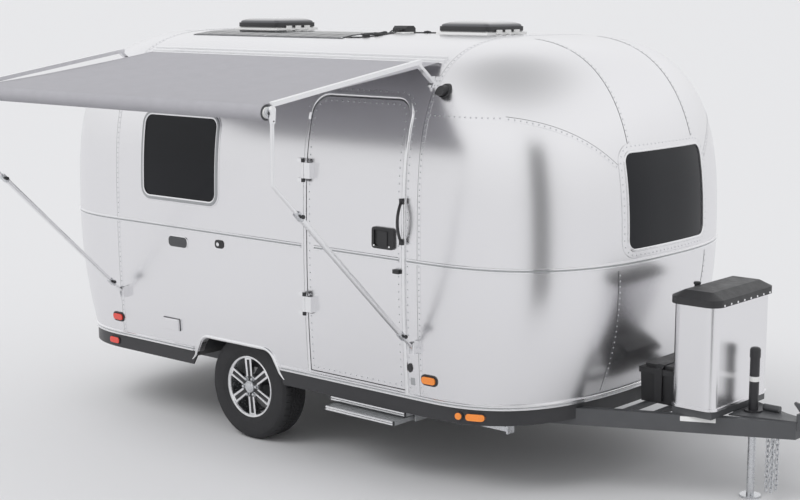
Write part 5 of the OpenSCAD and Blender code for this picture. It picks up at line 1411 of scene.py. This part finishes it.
# Studio: a wide pale floor, a soft key light, a broad sky and a dark card that only reflections show.
FLOOR_HALF = 600.0
FLOOR_COLOR = (0.68, 0.68, 0.69)
FLOOR_ROUGH = 0.8
SUN_ENERGY = 1.3
SUN_SPREAD = math.radians(40)
SUN_TURN = (math.radians(35), 0, math.radians(-20))
SKY_TINT = (0.985, 0.99, 1.0)
SKY_LEVELS = ((0.0, 0.82), (0.12, 0.88), (0.40, 0.98), (0.70, 0.95), (0.90, 0.66), (1.0, 0.56))
CARD_COLOR = (0.20, 0.20, 0.20)
CARD_ROUGH = 0.9
CARD_FROM = (2.2, -0.95, 0)
CARD_TURN = math.radians(-30)
CARD_AWAY = 3.4
CARD_W = 1.15
CARD_H = 3.6


def sky():
    """A soft dome, brightest half way up and dimmer at its top."""
    world = bpy.context.scene.world = bpy.data.worlds.new("studio")
    world.use_nodes = True
    nodes, links = world.node_tree.nodes, world.node_tree.links
    coords = nodes.new("ShaderNodeTexCoord")
    split = nodes.new("ShaderNodeSeparateXYZ")
    links.new(coords.outputs["Generated"], split.inputs["Vector"])
    height = nodes.new("ShaderNodeValToRGB")
    ends = height.color_ramp.elements
    for position, _ in SKY_LEVELS[1:-1]:
        ends.new(position)
    for element, (_, level) in zip(ends, SKY_LEVELS):
        element.color = (*(level*c for c in SKY_TINT), 1)
    links.new(split.outputs["Z"], height.inputs["Fac"])
    links.new(height.outputs["Color"], nodes["Background"].inputs["Color"])


def staged(name, corners, color, rough):
    mat = bpy.data.materials.new(name)
    mat.use_nodes = True
    assign(mat.node_tree.nodes["Principled BSDF"], Base_Color=(*color, 1), Roughness=rough)
    obj = mesh_object(name, corners, [(0, 1, 2, 3)], mat)
    return obj


def card():
    """A dark card, as studios use on bright metal: its mirror image shades the front corner."""
    away = Vector((math.cos(CARD_TURN), math.sin(CARD_TURN), 0))
    aside = Vector((-away.y, away.x, 0))*CARD_W/2
    foot = road(*CARD_FROM) + away*CARD_AWAY
    top = Vector((0, 0, CARD_H))
    corners = (foot - aside, foot + aside, foot + aside + top, foot - aside + top)
    obj = staged("studio_card", corners, CARD_COLOR, CARD_ROUGH)
    obj.visible_camera = False
    obj.visible_shadow = False
    obj.visible_diffuse = False


def studio():
    corners = [(x*FLOOR_HALF, y*FLOOR_HALF, GROUND_Z) for x, y in ((-1, -1), (1, -1), (1, 1), (-1, 1))]
    staged("studio_floor", corners, FLOOR_COLOR, FLOOR_ROUGH)
    sun = bpy.data.lights.new("key", "SUN")
    sun.energy = SUN_ENERGY
    sun.angle = SUN_SPREAD
    key = bpy.data.objects.new("key", sun)
    key.rotation_euler = SUN_TURN
    key.visible_glossy = False
    bpy.context.scene.collection.objects.link(key)
    sky()
    card()


studio()

# Camera at the photograph's angle, for an image of 800 by 500.
VIEW_FROM = (7.180, -7.869, 2.881)
VIEW_AZIMUTH = math.radians(40.89)
VIEW_PITCH = math.radians(9.43)
VIEW_LENS = 70.03


def camera():
    data = bpy.data.cameras.new("view")
    data.sensor_fit = "HORIZONTAL"
    data.sensor_width = 36.0
    data.lens = VIEW_LENS
    data.clip_end = 2000.0
    c, s = math.cos(VIEW_AZIMUTH), math.sin(VIEW_AZIMUTH)
    forward = Vector((-s*math.cos(VIEW_PITCH), c*math.cos(VIEW_PITCH), -math.sin(VIEW_PITCH)))
    right = Vector((c, s, 0))
    turn = Matrix((right, right.cross(forward), -forward)).transposed()
    cam = bpy.data.objects.new("view", data)
    cam.matrix_world = Matrix.Translation(road(*VIEW_FROM)) @ turn.to_4x4()
    bpy.context.scene.collection.objects.link(cam)
    bpy.context.scene.camera = cam


camera()
bpy.context.scene.view_settings.view_transform = "Standard"
